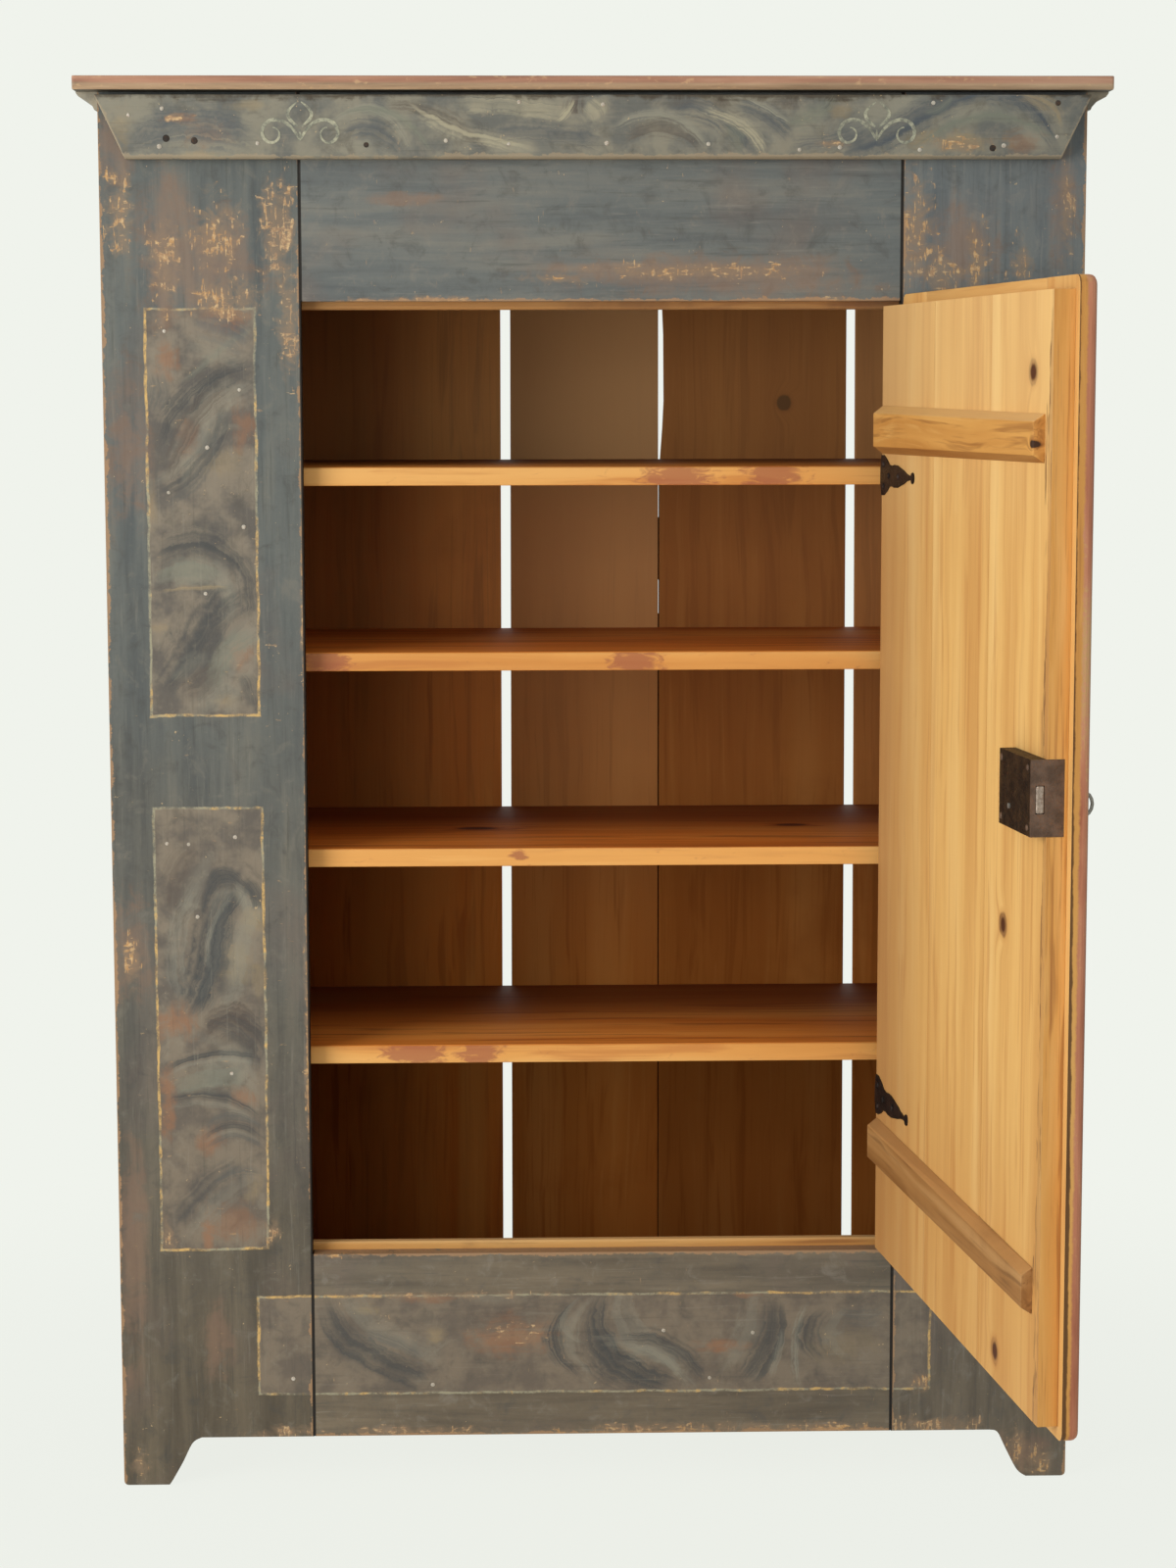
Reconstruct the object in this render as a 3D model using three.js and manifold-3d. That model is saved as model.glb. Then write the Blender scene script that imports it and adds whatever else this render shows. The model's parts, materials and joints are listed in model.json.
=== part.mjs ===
import * as THREE from 'three';
import { mergeVertices } from 'three/addons/utils/BufferGeometryUtils.js';
import Module from 'manifold-3d';

// Painted kas cupboard, standing open. Millimetres, +X to the right, front facing -Y, +Z up.
// x = 0 is the middle of the body, y = 0 the wall behind it, z = 0 the floor.

const wasm = await Module();
wasm.setup();

// Body
const bodyWidth = 1250;
const bodyDepth = 470;
const bodyHeight = 1811;
const sideThickness = 22;
const frontThickness = 25;
const leftStileWidth = 252;
const rightStileWidth = 234;
const archHeight = 64;
const bottomRailHeight = 247;
const topRailHeight = 261;
const fitGap = 0.3;
const seatGap = 0.2;
const cutOverrun = 5;

// Mortise and tenon joints of the front
const tenonReach = 55;
const tenonThickness = 8;
const shoulderHeight = 30;

// Feet of the front stiles and of the side panels
const leftFootWidth = 60;
const leftFootSlant = 36;
const rightFootWidth = 53;
const rightFootSlant = 43;
const footCornerRadius = 7;
const sideFootWidth = 62;
const sideFootSlant = 40;
const leftFootShares = [[0, 0], [0.14, 0.12], [0.5, 0.48], [0.86, 0.88], [1.2, 1]];
const rightFootShares = [[0, 0], [0.28, 0.15], [0.61, 0.57], [0.88, 0.94], [1.12, 1]];
const footCurveSegments = 10;

// Back boards, listed by the x of their edges at the floor and at the top
const backThickness = 16;
const rebateWidth = 10;
const backEdgeGap = 1;
const backBoardOneRight = [-123, -120];
const backBoardTwoLeft = [-110, -106];
const backBoardTwoRight = [102.6, 102.2];
const backBoardThreeLeft = [103, 102.6];
const backBoardThreeRight = [372, 368];
const backBoardFourLeft = [388, 381];
const waneBottomShare = 0.595;
const waneHeightShare = 0.302;
const waneDepth = 7.8;
const waneOutlineShares = [
  [0, 0], [0.06, 0.06], [0.23, 0.08], [0.34, 0.1], [0.42, 0.12], [0.47, 0.3], [0.5, 0.45],
  [0.56, 0.76], [0.63, 1], [0.72, 1], [0.8, 0.92], [0.86, 0.74], [0.91, 0.6], [1, 0],
];

// Shelves, bottom board and the cleats that carry them
const shelfTopShares = [0.74, 0.608, 0.4666, 0.3225];
const shelfThickness = 24;
const shelfSetBack = 28;
const shelfSideGap = 1;
const shelfEdgeEase = 2;
const bottomBoardRise = 53;
const bottomBoardThickness = 22;
const cleatWidth = 20;
const cleatHeight = 22;
const cleatChamfer = 7;
const cleatFrontGap = 14;
const cleatBackGap = 6;

// Laths behind the rails that stop the door
const stopThickness = 14;
const stopShow = 10;
const stopCover = 30;
const stopSideCover = 48;
const stopEase = 2.5;

// Top board, frieze and the mouldings under the overhanging ends
const topThickness = 17;
const topSideOverhang = 27;
const topFrontOverhang = 37;
const topEdgeChamfer = 5;
const topCornerRadius = 4;
const friezeHeight = 78;
const friezeTopGap = 6;
const friezeBottomProjection = 18;
const friezeTopProjection = 34;
const friezeEndSlant = 35;
const friezeBottomEase = 3;
const mouldingHeight = 22;
const mouldingFoot = 4;
const mouldingShares = [[0, 0], [0.06, 0.16], [0.3, 0.44], [0.62, 0.62], [0.84, 0.74], [0.96, 0.9], [1, 1]];

// Door, drawn closed around its hinge line and then swung open
const doorOpenDegrees = 97;
const hingeLineGap = 2;
const doorHingeGap = 3;
const doorWidth = 756;
const doorBottomGap = 5;
const doorTopGap = 7;
const doorBoardThickness = 23;
const doorProud = 1;
const doorBoardEdges = [262, 513];
const boardJointGap = 1;
const tongueLength = 5;
const tongueThickness = 7;

// Applied front layer of the door
const frameThickness = 20;
const frameLip = 15;
const frameHingeSetBack = 12;
const doorStileWidth = 120;
const doorTopRailWidth = 122;
const doorMiddleRailShare = 0.432;
const doorMiddleRailWidth = 110;
const doorBottomRailWidth = 142;
const frameEdgeMoulding = 7;
const frameInnerMoulding = 9;
const frameCornerRadius = 6;
const mouldingSegments = 4;

// Dovetailed battens
const upperBattenDrop = 187;
const lowerBattenRise = 114;
const battenWideEnd = 62;
const battenNarrowEnd = 53;
const battenStart = 5;
const battenLength = 724;
const battenProud = 13;
const battenDepth = 8;
const battenBevel = 10;
const battenNeckInset = 5;

// Hinges
const upperHingeDrop = 213.5;
const lowerHingeRise = 207.5;
const leafThickness = 1.6;
const hingeHeight = 51;
const knuckleRadius = 5;
const pinBoreRadius = 2.5;
const pinRadius = 2.42;
const knuckleGap = 0.4;
const doorKnuckleHeight = 18;
const pinHeadRadius = 4.2;
const pinHeadHeight = 3.4;
const hingeRecessGap = 0.6;
const frameLeafWidth = 46;
const doorLeafLength = 172;
const leafBallRadius = 7;
const roundSegments = 32;
const doorLeafOutlineShares = [
  [0, 0.36], [0.03, 1], [0.1, 1], [0.19, 0.8], [0.26, 0.56], [0.34, 0.5], [0.42, 0.56], [0.52, 0.54],
  [0.62, 0.42], [0.71, 0.32], [0.79, 0.18], [0.88, 0.1], [0.96, 0.1],
];

// Box lock on the inner face
const lockLength = 120;
const lockBelowKey = 24;
const lockHeight = 83;
const lockProud = 18;
const lockWall = 2;
const lockPlateThickness = 2;
const lockPlateReach = 19;
const boltThickness = 9;
const boltHeight = 30;
const boltFaceGap = 3;
const boltAboveKey = 1;
const boltShow = 0.8;
const boltHeadLength = 44;
const boltTailLength = 110;
const boltTailHeight = 13;
const talonStart = 83;
const talonLength = 20.5;
const talonDepth = 4;
const keyFromEdge = 81;
const keyHeight = 989;
const shankRadius = 3;
const shankHoleGap = 0.5;
const keySlotWidth = 5;
const keySlotDepth = 21.5;
const bitReach = 20;
const bitThickness = 3;
const bitLength = 8;
const bitFaceGap = 3.5;
const shankTipProud = 1.5;
const bowHeight = 31;
const bowLength = 27;
const bowWire = 3.6;
const bowThickness = 2.6;
const bowStandOff = 7;
const bowEase = 0.6;
const collarRadius = 4.6;
const collarLength = 4;
const escutcheonWidth = 30;
const escutcheonHeight = 58;
const escutcheonThickness = 1.6;

const bodyLeft = -bodyWidth / 2;
const bodyRight = bodyWidth / 2;
const frontFace = -bodyDepth;
const frontBack = frontFace + frontThickness;
const openingLeft = bodyLeft + leftStileWidth;
const openingRight = bodyRight - rightStileWidth;
const bottomRailTop = archHeight + bottomRailHeight;
const topRailBottom = bodyHeight - topRailHeight;
const bottomBoardTop = archHeight + bottomBoardRise;
const shelfTops = shelfTopShares.map((share) => share * bodyHeight);
const interiorLeft = bodyLeft + sideThickness;
const interiorRight = bodyRight - sideThickness;
const backFront = -backThickness;
const shelfFront = frontFace + shelfSetBack;
const friezeTop = bodyHeight - friezeTopGap;
const friezeBottom = friezeTop - friezeHeight;

const hingeLine = openingRight - hingeLineGap;
const doorBottom = bottomRailTop + doorBottomGap;
const doorTop = topRailBottom - doorTopGap;
const doorMiddleRailBottom = doorBottom + (doorTop - doorBottom) * doorMiddleRailShare;
const doorMiddleRailTop = doorMiddleRailBottom + doorMiddleRailWidth;
const battenBottoms = [doorTop - upperBattenDrop, doorBottom + lowerBattenRise];
const hingeMiddles = [doorTop - upperHingeDrop, doorBottom + lowerHingeRise];
const boardFront = -doorProud;
const boardBack = boardFront + doorBoardThickness;
const boardRight = -doorHingeGap;
const boardLeft = boardRight - doorWidth;
const frameBack = boardFront - seatGap;
const frameFront = frameBack - frameThickness;
const frameLeft = boardLeft - frameLip;
const frameRight = -frameHingeSetBack;
const frameBottom = doorBottom - frameLip;
const frameTop = doorTop + frameLip;
const lockRight = boardLeft + lockPlateThickness + lockLength;
const lockFront = boardBack + lockProud;
const keyX = boardLeft + keyFromEdge;
const lockBottom = keyHeight - lockBelowKey;
const boltBottom = keyHeight + boltAboveKey;

const paintedWood = new THREE.MeshStandardMaterial({ color: 0x6f7069, roughness: 0.7, metalness: 0 });
const bareWood = new THREE.MeshStandardMaterial({ color: 0xc99a5b, roughness: 0.75, metalness: 0 });
const darkWood = new THREE.MeshStandardMaterial({ color: 0x5a3418, roughness: 0.85, metalness: 0 });
const agedIron = new THREE.MeshStandardMaterial({ color: 0x2a2320, roughness: 0.6, metalness: 0.8 });

// Shape helpers

function toSolid(geometry) {
  const bare = geometry.clone();
  bare.deleteAttribute('normal');
  bare.deleteAttribute('uv');
  const merged = mergeVertices(bare, 1e-4);
  const mesh = new wasm.Mesh({
    numProp: 3,
    vertProperties: new Float32Array(merged.attributes.position.array),
    triVerts: new Uint32Array(merged.index.array),
  });
  return new wasm.Manifold(mesh);
}

function toGeometry(solid) {
  const mesh = solid.getMesh();
  const geometry = new THREE.BufferGeometry();
  geometry.setAttribute('position', new THREE.BufferAttribute(new Float32Array(mesh.vertProperties), 3));
  geometry.setIndex(new THREE.BufferAttribute(new Uint32Array(mesh.triVerts), 1));
  geometry.computeVertexNormals();
  return geometry;
}

function part(name, shape, material) {
  const geometry = shape.isBufferGeometry ? shape : toGeometry(shape);
  const mesh = new THREE.Mesh(geometry, material);
  mesh.name = name;
  return mesh;
}

function boxGeometry(x, y, z) {
  const geometry = new THREE.BoxGeometry(x[1] - x[0], y[1] - y[0], z[1] - z[0]);
  geometry.translate((x[0] + x[1]) / 2, (y[0] + y[1]) / 2, (z[0] + z[1]) / 2);
  return geometry;
}

function box(x, y, z) {
  return toSolid(boxGeometry(x, y, z));
}

function outline(points) {
  return new THREE.Shape(points.map(([across, up]) => new THREE.Vector2(across, up)));
}

function extruded(shape, depth, curveSegments = roundSegments) {
  return new THREE.ExtrudeGeometry(shape, { depth, bevelEnabled: false, curveSegments });
}

function alongX(shape, from, to, curveSegments) {
  const geometry = extruded(shape, to - from, curveSegments);
  const turn = new THREE.Matrix4().makeBasis(
    new THREE.Vector3(0, 1, 0),
    new THREE.Vector3(0, 0, 1),
    new THREE.Vector3(1, 0, 0),
  );
  geometry.applyMatrix4(turn);
  geometry.translate(from, 0, 0);
  return geometry;
}

function alongY(shape, from, to, curveSegments) {
  const geometry = extruded(shape, to - from, curveSegments);
  geometry.rotateX(Math.PI / 2);
  geometry.translate(0, to, 0);
  return geometry;
}

function alongZ(shape, from, to, curveSegments) {
  const geometry = extruded(shape, to - from, curveSegments);
  geometry.translate(0, 0, from);
  return geometry;
}

function upright(radius, from, to) {
  const geometry = new THREE.CylinderGeometry(radius, radius, to - from, roundSegments);
  geometry.rotateX(Math.PI / 2);
  geometry.translate(0, 0, (from + to) / 2);
  return toSolid(geometry);
}

function roundAlongY(radius, x, z, from, to) {
  const geometry = new THREE.CylinderGeometry(radius, radius, to - from, roundSegments);
  geometry.translate(x, (from + to) / 2, z);
  return toSolid(geometry);
}

// Front of the body

// Foot edge, from the floor up to the arch. side is 1 when the arch lies to the right of the foot.
function footEdge(innerEdge, slant, shares, side) {
  return shares.map(([across, up]) => new THREE.Vector2(innerEdge + side * across * slant, up * archHeight));
}

function stileShape(outerEdge, openingEdge, footWidth, footSlant, footShares) {
  const side = Math.sign(openingEdge - outerEdge);
  const footEnd = outerEdge + side * footWidth;
  const shape = new THREE.Shape();
  shape.moveTo(openingEdge, bodyHeight);
  shape.lineTo(outerEdge, bodyHeight);
  shape.lineTo(outerEdge, footCornerRadius);
  shape.quadraticCurveTo(outerEdge, 0, outerEdge + side * footCornerRadius, 0);
  shape.lineTo(footEnd, 0);
  shape.splineThru(footEdge(footEnd, footSlant, footShares, side).slice(1));
  shape.lineTo(openingEdge, archHeight);
  shape.closePath();
  return shape;
}

// Tenon past a rail's end, or with a gap and an overrun the mortise for it.
function tenonBlock(edge, side, bottom, top, gap = 0, overrun = 0) {
  const middle = (frontFace + frontBack) / 2;
  const half = tenonThickness / 2 + gap;
  const mouth = edge + side * overrun;
  const reach = edge - side * (tenonReach + gap);
  return box(
    [Math.min(mouth, reach), Math.max(mouth, reach)],
    [middle - half, middle + half],
    [bottom + shoulderHeight - gap, top - shoulderHeight + gap],
  );
}

function hingeRecess(x, y, height, middle) {
  return box(x, y, [middle - height / 2 - pinHeadHeight - hingeRecessGap,
    middle + height / 2 + pinHeadHeight + hingeRecessGap]);
}

function frontStile(name, outerEdge, openingEdge, footWidth, footSlant, footShares) {
  const side = Math.sign(openingEdge - outerEdge);
  const shape = stileShape(outerEdge, openingEdge, footWidth, footSlant, footShares);
  let solid = toSolid(alongY(shape, frontFace, frontBack, footCurveSegments));
  for (const [bottom, top] of [[archHeight, bottomRailTop], [topRailBottom, bodyHeight]]) {
    solid = solid.subtract(tenonBlock(openingEdge, side, bottom, top, fitGap, cutOverrun));
  }
  if (openingEdge === openingRight) {
    const reach = knuckleRadius + hingeRecessGap;
    for (const middle of hingeMiddles) {
      solid = solid.subtract(hingeRecess(
        [openingEdge - cutOverrun, hingeLine + reach],
        [frontFace - cutOverrun, frontFace + reach],
        hingeHeight,
        middle,
      ));
    }
  }
  return part(name, solid, paintedWood);
}

function frontRail(name, bottom, top) {
  let solid = box([openingLeft, openingRight], [frontFace, frontBack], [bottom, top]);
  solid = solid.add(tenonBlock(openingLeft, 1, bottom, top));
  solid = solid.add(tenonBlock(openingRight, -1, bottom, top));
  return part(name, solid, paintedWood);
}

function doorStop(name, railEdge, side) {
  const showing = railEdge + side * stopShow;
  const hidden = railEdge - side * stopCover;
  const shape = outline([
    [frontBack, hidden],
    [frontBack + stopThickness, hidden],
    [frontBack + stopThickness, showing],
    [frontBack + stopEase, showing],
    [frontBack, showing - side * stopEase],
  ]);
  return part(name, alongX(shape, openingLeft - stopSideCover, openingRight + stopSideCover), bareWood);
}

// Sides, back and inside

function sidePanel(name, innerFace, outerFace) {
  const shape = new THREE.Shape();
  const frontFootEnd = frontBack + sideFootWidth - frontThickness;
  const backFootEnd = -sideFootWidth;
  shape.moveTo(0, bodyHeight);
  shape.lineTo(frontBack, bodyHeight);
  shape.lineTo(frontBack, 0);
  shape.lineTo(frontFootEnd, 0);
  shape.splineThru(footEdge(frontFootEnd, sideFootSlant, leftFootShares, 1).slice(1));
  const rising = footEdge(backFootEnd, sideFootSlant, leftFootShares, -1).reverse();
  shape.lineTo(rising[0].x, rising[0].y);
  shape.splineThru(rising.slice(1));
  shape.lineTo(0, 0);
  shape.closePath();
  const low = Math.min(innerFace, outerFace);
  const high = Math.max(innerFace, outerFace);
  const side = Math.sign(outerFace - innerFace);
  const rebate = [innerFace - side * cutOverrun, innerFace + side * rebateWidth].sort((a, b) => a - b);
  const panel = toSolid(alongX(shape, low, high, footCurveSegments));
  return part(name, panel.subtract(box(rebate, [backFront, cutOverrun], [-cutOverrun, bodyHeight + cutOverrun])),
    paintedWood);
}

// Worn hollow in a board's left edge, as points from the bottom up.
function waneEdge(edge) {
  return waneOutlineShares.map(([up, deep]) => {
    const share = waneBottomShare + up * waneHeightShare;
    return [edge[0] + (edge[1] - edge[0]) * share + deep * waneDepth, share * bodyHeight];
  });
}

function backBoard(name, left, right, leftEdgeMiddle = []) {
  const shape = outline([
    [right[0], 0],
    [right[1], bodyHeight],
    [left[1], bodyHeight],
    ...leftEdgeMiddle.reverse(),
    [left[0], 0],
  ]);
  return part(name, alongY(shape, backFront, 0), darkWood);
}

function shelf(name, top, thickness) {
  const shape = outline([
    [shelfFront, top - thickness],
    [backFront, top - thickness],
    [backFront, top],
    [shelfFront + shelfEdgeEase, top],
    [shelfFront, top - shelfEdgeEase],
  ]);
  return part(name, alongX(shape, interiorLeft + shelfSideGap, interiorRight - shelfSideGap), darkWood);
}

function cleat(name, wall, side, top) {
  const free = wall + side * cleatWidth;
  const shape = outline([
    [wall, top],
    [wall, top - cleatHeight],
    [free - side * cleatChamfer, top - cleatHeight],
    [free, top - cleatHeight + cleatChamfer],
    [free, top],
  ]);
  return part(name, alongY(shape, shelfFront + cleatFrontGap, backFront - cleatBackGap), darkWood);
}

// Top of the body

function topBoard() {
  const shape = new THREE.Shape();
  const left = bodyLeft - topSideOverhang;
  const right = bodyRight + topSideOverhang;
  const front = frontFace - topFrontOverhang;
  shape.moveTo(right, 0);
  shape.lineTo(left, 0);
  shape.lineTo(left, front + topCornerRadius);
  shape.quadraticCurveTo(left, front, left + topCornerRadius, front);
  shape.lineTo(right - topCornerRadius, front);
  shape.quadraticCurveTo(right, front, right, front + topCornerRadius);
  shape.closePath();
  const board = toSolid(alongZ(shape, bodyHeight, bodyHeight + topThickness, mouldingSegments));
  const chamfer = outline([
    [front - cutOverrun, bodyHeight - cutOverrun],
    [front + topEdgeChamfer + cutOverrun, bodyHeight - cutOverrun],
    [front - cutOverrun, bodyHeight + topEdgeChamfer + cutOverrun],
  ]);
  return part('top_board', board.subtract(toSolid(alongX(chamfer, left - cutOverrun, right + cutOverrun))),
    paintedWood);
}

function friezeBoard() {
  const section = outline([
    [frontFace, friezeBottom],
    [frontFace, friezeTop],
    [frontFace - friezeTopProjection, friezeTop],
    [frontFace - friezeBottomProjection, friezeBottom + friezeBottomEase],
    [frontFace - friezeBottomProjection + friezeBottomEase, friezeBottom],
  ]);
  const face = outline([
    [bodyLeft, friezeTop],
    [bodyLeft + friezeEndSlant, friezeBottom],
    [bodyRight - friezeEndSlant, friezeBottom],
    [bodyRight, friezeTop],
  ]);
  const bar = toSolid(alongX(section, bodyLeft, bodyRight));
  const slanted = toSolid(alongY(face, frontFace - friezeTopProjection - cutOverrun, frontFace + cutOverrun));
  return part('frieze_board', bar.intersect(slanted), paintedWood);
}

function coveMoulding(name, wall, side) {
  const points = mouldingShares.map(([across, up]) => [
    wall + side * (mouldingFoot + across * (topSideOverhang - mouldingFoot)),
    bodyHeight - mouldingHeight * (1 - up),
  ]);
  const shape = outline([[wall, bodyHeight], [wall, bodyHeight - mouldingHeight], ...points]);
  return part(name, alongY(shape, frontFace, 0), paintedWood);
}

// Door, around its hinge line at x = 0 and y = 0

function battenSolid(bottom, gap) {
  const middle = bottom + battenWideEnd / 2;
  const half = battenWideEnd / 2 + gap;
  const neck = half - battenNeckInset;
  const seat = boardBack + seatGap;
  const shape = outline([
    [boardBack - battenDepth - gap, middle - half],
    [seat, middle - neck],
    [seat, middle - half],
    [seat + battenProud, middle - half + battenBevel],
    [seat + battenProud, middle + half - battenBevel],
    [seat, middle + half],
    [seat, middle + neck],
    [boardBack - battenDepth - gap, middle + half],
  ]);
  const start = boardRight - battenStart;
  const end = start - battenLength;
  const geometry = alongX(shape, end - gap, start + (gap > 0 ? battenStart + cutOverrun : 0));
  const place = geometry.attributes.position;
  for (let i = 0; i < place.count; i += 1) {
    const share = (start - place.getX(i)) / battenLength;
    const width = battenWideEnd + (battenNarrowEnd - battenWideEnd) * share;
    place.setZ(i, middle + (place.getZ(i) - middle) * (width / battenWideEnd));
  }
  return toSolid(geometry);
}

function doorBoard(name, index) {
  const edges = [0, ...doorBoardEdges, doorWidth];
  const first = index === 0;
  const last = index === edges.length - 2;
  const right = boardRight - edges[index] - (first ? 0 : boardJointGap / 2);
  const left = boardRight - edges[index + 1] + (last ? 0 : boardJointGap / 2);
  const middle = (boardFront + boardBack) / 2;
  let solid = box([left, right], [boardFront, boardBack], [doorBottom, doorTop]);
  if (!last) {
    const half = tongueThickness / 2;
    solid = solid.add(box([left - tongueLength, right], [middle - half, middle + half], [doorBottom, doorTop]));
  }
  if (!first) {
    const half = tongueThickness / 2 + fitGap;
    const depth = right + boardJointGap - tongueLength - fitGap;
    solid = solid.subtract(box([depth, right + cutOverrun], [middle - half, middle + half],
      [doorBottom - cutOverrun, doorTop + cutOverrun]));
  }
  for (const bottom of battenBottoms) {
    solid = solid.subtract(battenSolid(bottom, fitGap));
  }
  if (first) {
    const reach = knuckleRadius + hingeRecessGap;
    for (const hingeMiddle of hingeMiddles) {
      solid = solid.subtract(hingeRecess([-reach, cutOverrun], [boardFront - cutOverrun, reach],
        hingeHeight, hingeMiddle));
    }
  }
  if (last) {
    solid = solid.subtract(lockPlateBlock(fitGap));
    solid = solid.subtract(keyHole(boardFront - cutOverrun, boardBack + cutOverrun));
  }
  return part(name, solid, bareWood);
}

function doorBatten(name, bottom) {
  return part(name, battenSolid(bottom, 0), bareWood);
}

// Whole front layer with a moulded outer edge, before it is cut into stiles and rails.
function frameBlank() {
  const inset = frameEdgeMoulding;
  const left = frameLeft + inset;
  const right = frameRight - inset;
  const bottom = frameBottom + inset;
  const top = frameTop - inset;
  const corner = frameCornerRadius;
  const shape = new THREE.Shape();
  shape.moveTo(left + corner, bottom);
  shape.lineTo(right - corner, bottom);
  shape.quadraticCurveTo(right, bottom, right, bottom + corner);
  shape.lineTo(right, top - corner);
  shape.quadraticCurveTo(right, top, right - corner, top);
  shape.lineTo(left + corner, top);
  shape.quadraticCurveTo(left, top, left, top - corner);
  shape.lineTo(left, bottom + corner);
  shape.quadraticCurveTo(left, bottom, left + corner, bottom);
  const moulded = new THREE.ExtrudeGeometry(shape, {
    depth: frameThickness,
    bevelEnabled: true,
    bevelThickness: inset,
    bevelSize: inset,
    bevelSegments: mouldingSegments,
    curveSegments: mouldingSegments,
  });
  moulded.rotateX(Math.PI / 2);
  moulded.translate(0, frameBack + inset, 0);
  const keep = box(
    [frameLeft - cutOverrun, frameRight + cutOverrun],
    [frameFront, frameBack],
    [frameBottom - cutOverrun, frameTop + cutOverrun],
  );
  return toSolid(moulded).intersect(keep);
}

function frameOpening(bottom, top) {
  const left = frameLeft + doorStileWidth;
  const right = frameRight - doorStileWidth;
  const shape = outline([[left, bottom], [right, bottom], [right, top], [left, top]]);
  const inset = frameInnerMoulding;
  const geometry = new THREE.ExtrudeGeometry(shape, {
    depth: frameThickness,
    bevelEnabled: true,
    bevelThickness: inset,
    bevelSize: inset,
    bevelSegments: 1,
  });
  geometry.rotateX(Math.PI / 2);
  geometry.translate(0, frameFront, 0);
  return toSolid(geometry).add(toSolid(alongY(shape, frameFront - cutOverrun, frameBack + cutOverrun)));
}

function frameMember(name, blank, openings, x, z) {
  let solid = blank.intersect(box(x, [frameFront - cutOverrun, frameBack + cutOverrun], z));
  for (const opening of openings) {
    solid = solid.subtract(opening);
  }
  if (x[0] < keyX && x[1] > keyX) {
    solid = solid.subtract(keyHole(frameFront - cutOverrun, frameBack + cutOverrun));
  }
  return part(name, solid, paintedWood);
}

function doorFrame() {
  const blank = frameBlank();
  const topOpening = [doorMiddleRailTop, frameTop - doorTopRailWidth];
  const bottomOpening = [frameBottom + doorBottomRailWidth, doorMiddleRailBottom];
  const openings = [frameOpening(...topOpening), frameOpening(...bottomOpening)];
  const outerLow = frameBottom - cutOverrun;
  const outerHigh = frameTop + cutOverrun;
  const leftEdge = frameLeft + doorStileWidth;
  const rightEdge = frameRight - doorStileWidth;
  const between = [leftEdge + seatGap, rightEdge - seatGap];
  return [
    frameMember('door_stile_lock', blank, openings, [frameLeft - cutOverrun, leftEdge], [outerLow, outerHigh]),
    frameMember('door_stile_hinge', blank, openings, [rightEdge, frameRight + cutOverrun],
      [outerLow, outerHigh]),
    frameMember('door_rail_top', blank, openings, between, [topOpening[1], outerHigh]),
    frameMember('door_rail_middle', blank, openings, between, [doorMiddleRailBottom, doorMiddleRailTop]),
    frameMember('door_rail_bottom', blank, openings, between, [outerLow, bottomOpening[0]]),
  ];
}

// Hinges

function knuckle(from, to) {
  return upright(knuckleRadius, from, to);
}

function knuckleStrip(x, back, from, to) {
  return box(x, [pinBoreRadius, back], [from, to]);
}

function pinBore(middle) {
  return upright(pinBoreRadius, middle - hingeHeight, middle + hingeHeight);
}

function frameLeaf(name, middle) {
  const half = hingeHeight / 2;
  const inner = doorKnuckleHeight / 2 + knuckleGap;
  const strip = [hingeLineGap - leafThickness, hingeLineGap];
  const back = frontThickness + leafThickness;
  let solid = box([strip[0], strip[0] + frameLeafWidth], [frontThickness, back], [middle - half, middle + half]);
  for (const span of [[middle - half, middle - inner], [middle + inner, middle + half]]) {
    solid = solid.add(knuckle(...span));
    solid = solid.add(knuckleStrip(strip, back, ...span));
  }
  return part(name, solid.subtract(pinBore(middle)).translate([hingeLine, frontFace, 0]), agedIron);
}

function doorLeafOutline(start, middle) {
  const half = hingeHeight / 2;
  const upper = doorLeafOutlineShares.map(([along, up]) => [start - along * doorLeafLength, middle + up * half]);
  const lower = doorLeafOutlineShares.map(([along, up]) => [start - along * doorLeafLength, middle - up * half]);
  return outline([...upper, ...lower.reverse()]);
}

function doorLeaf(name, middle) {
  const half = doorKnuckleHeight / 2;
  const strip = [boardRight + seatGap, boardRight + seatGap + leafThickness];
  const start = strip[1];
  const face = boardBack + seatGap;
  const back = face + leafThickness;
  const ball = start - doorLeafLength + leafBallRadius;
  let solid = toSolid(alongY(doorLeafOutline(start, middle), face, back));
  solid = solid.add(roundAlongY(leafBallRadius, ball, middle, face, back));
  solid = solid.add(knuckle(middle - half, middle + half));
  solid = solid.add(knuckleStrip(strip, back, middle - half, middle + half));
  return part(name, solid.subtract(pinBore(middle)), agedIron);
}

function hingePin(name, middle) {
  const half = hingeHeight / 2 + knuckleGap;
  let solid = upright(pinRadius, middle - half - pinHeadHeight / 2, middle + half + pinHeadHeight / 2);
  solid = solid.add(upright(pinHeadRadius, middle + half, middle + half + pinHeadHeight));
  solid = solid.add(upright(pinHeadRadius, middle - half - pinHeadHeight, middle - half));
  return part(name, solid.translate([hingeLine, frontFace, 0]), agedIron);
}

// Lock and key

function lockPlateBlock(gap) {
  return box(
    [boardLeft - cutOverrun * Math.sign(gap), boardLeft + lockPlateThickness + gap],
    [boardBack - lockPlateReach - gap, lockFront],
    [lockBottom - gap, lockBottom + lockHeight + gap],
  );
}

function lockPlate() {
  const face = boardBack + boltFaceGap;
  const slot = box(
    [boardLeft - cutOverrun, boardLeft + lockPlateThickness + cutOverrun],
    [face - fitGap, face + boltThickness + fitGap],
    [boltBottom - fitGap, boltBottom + boltHeight + fitGap],
  );
  return part('lock_plate', lockPlateBlock(0).subtract(slot), agedIron);
}

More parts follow.
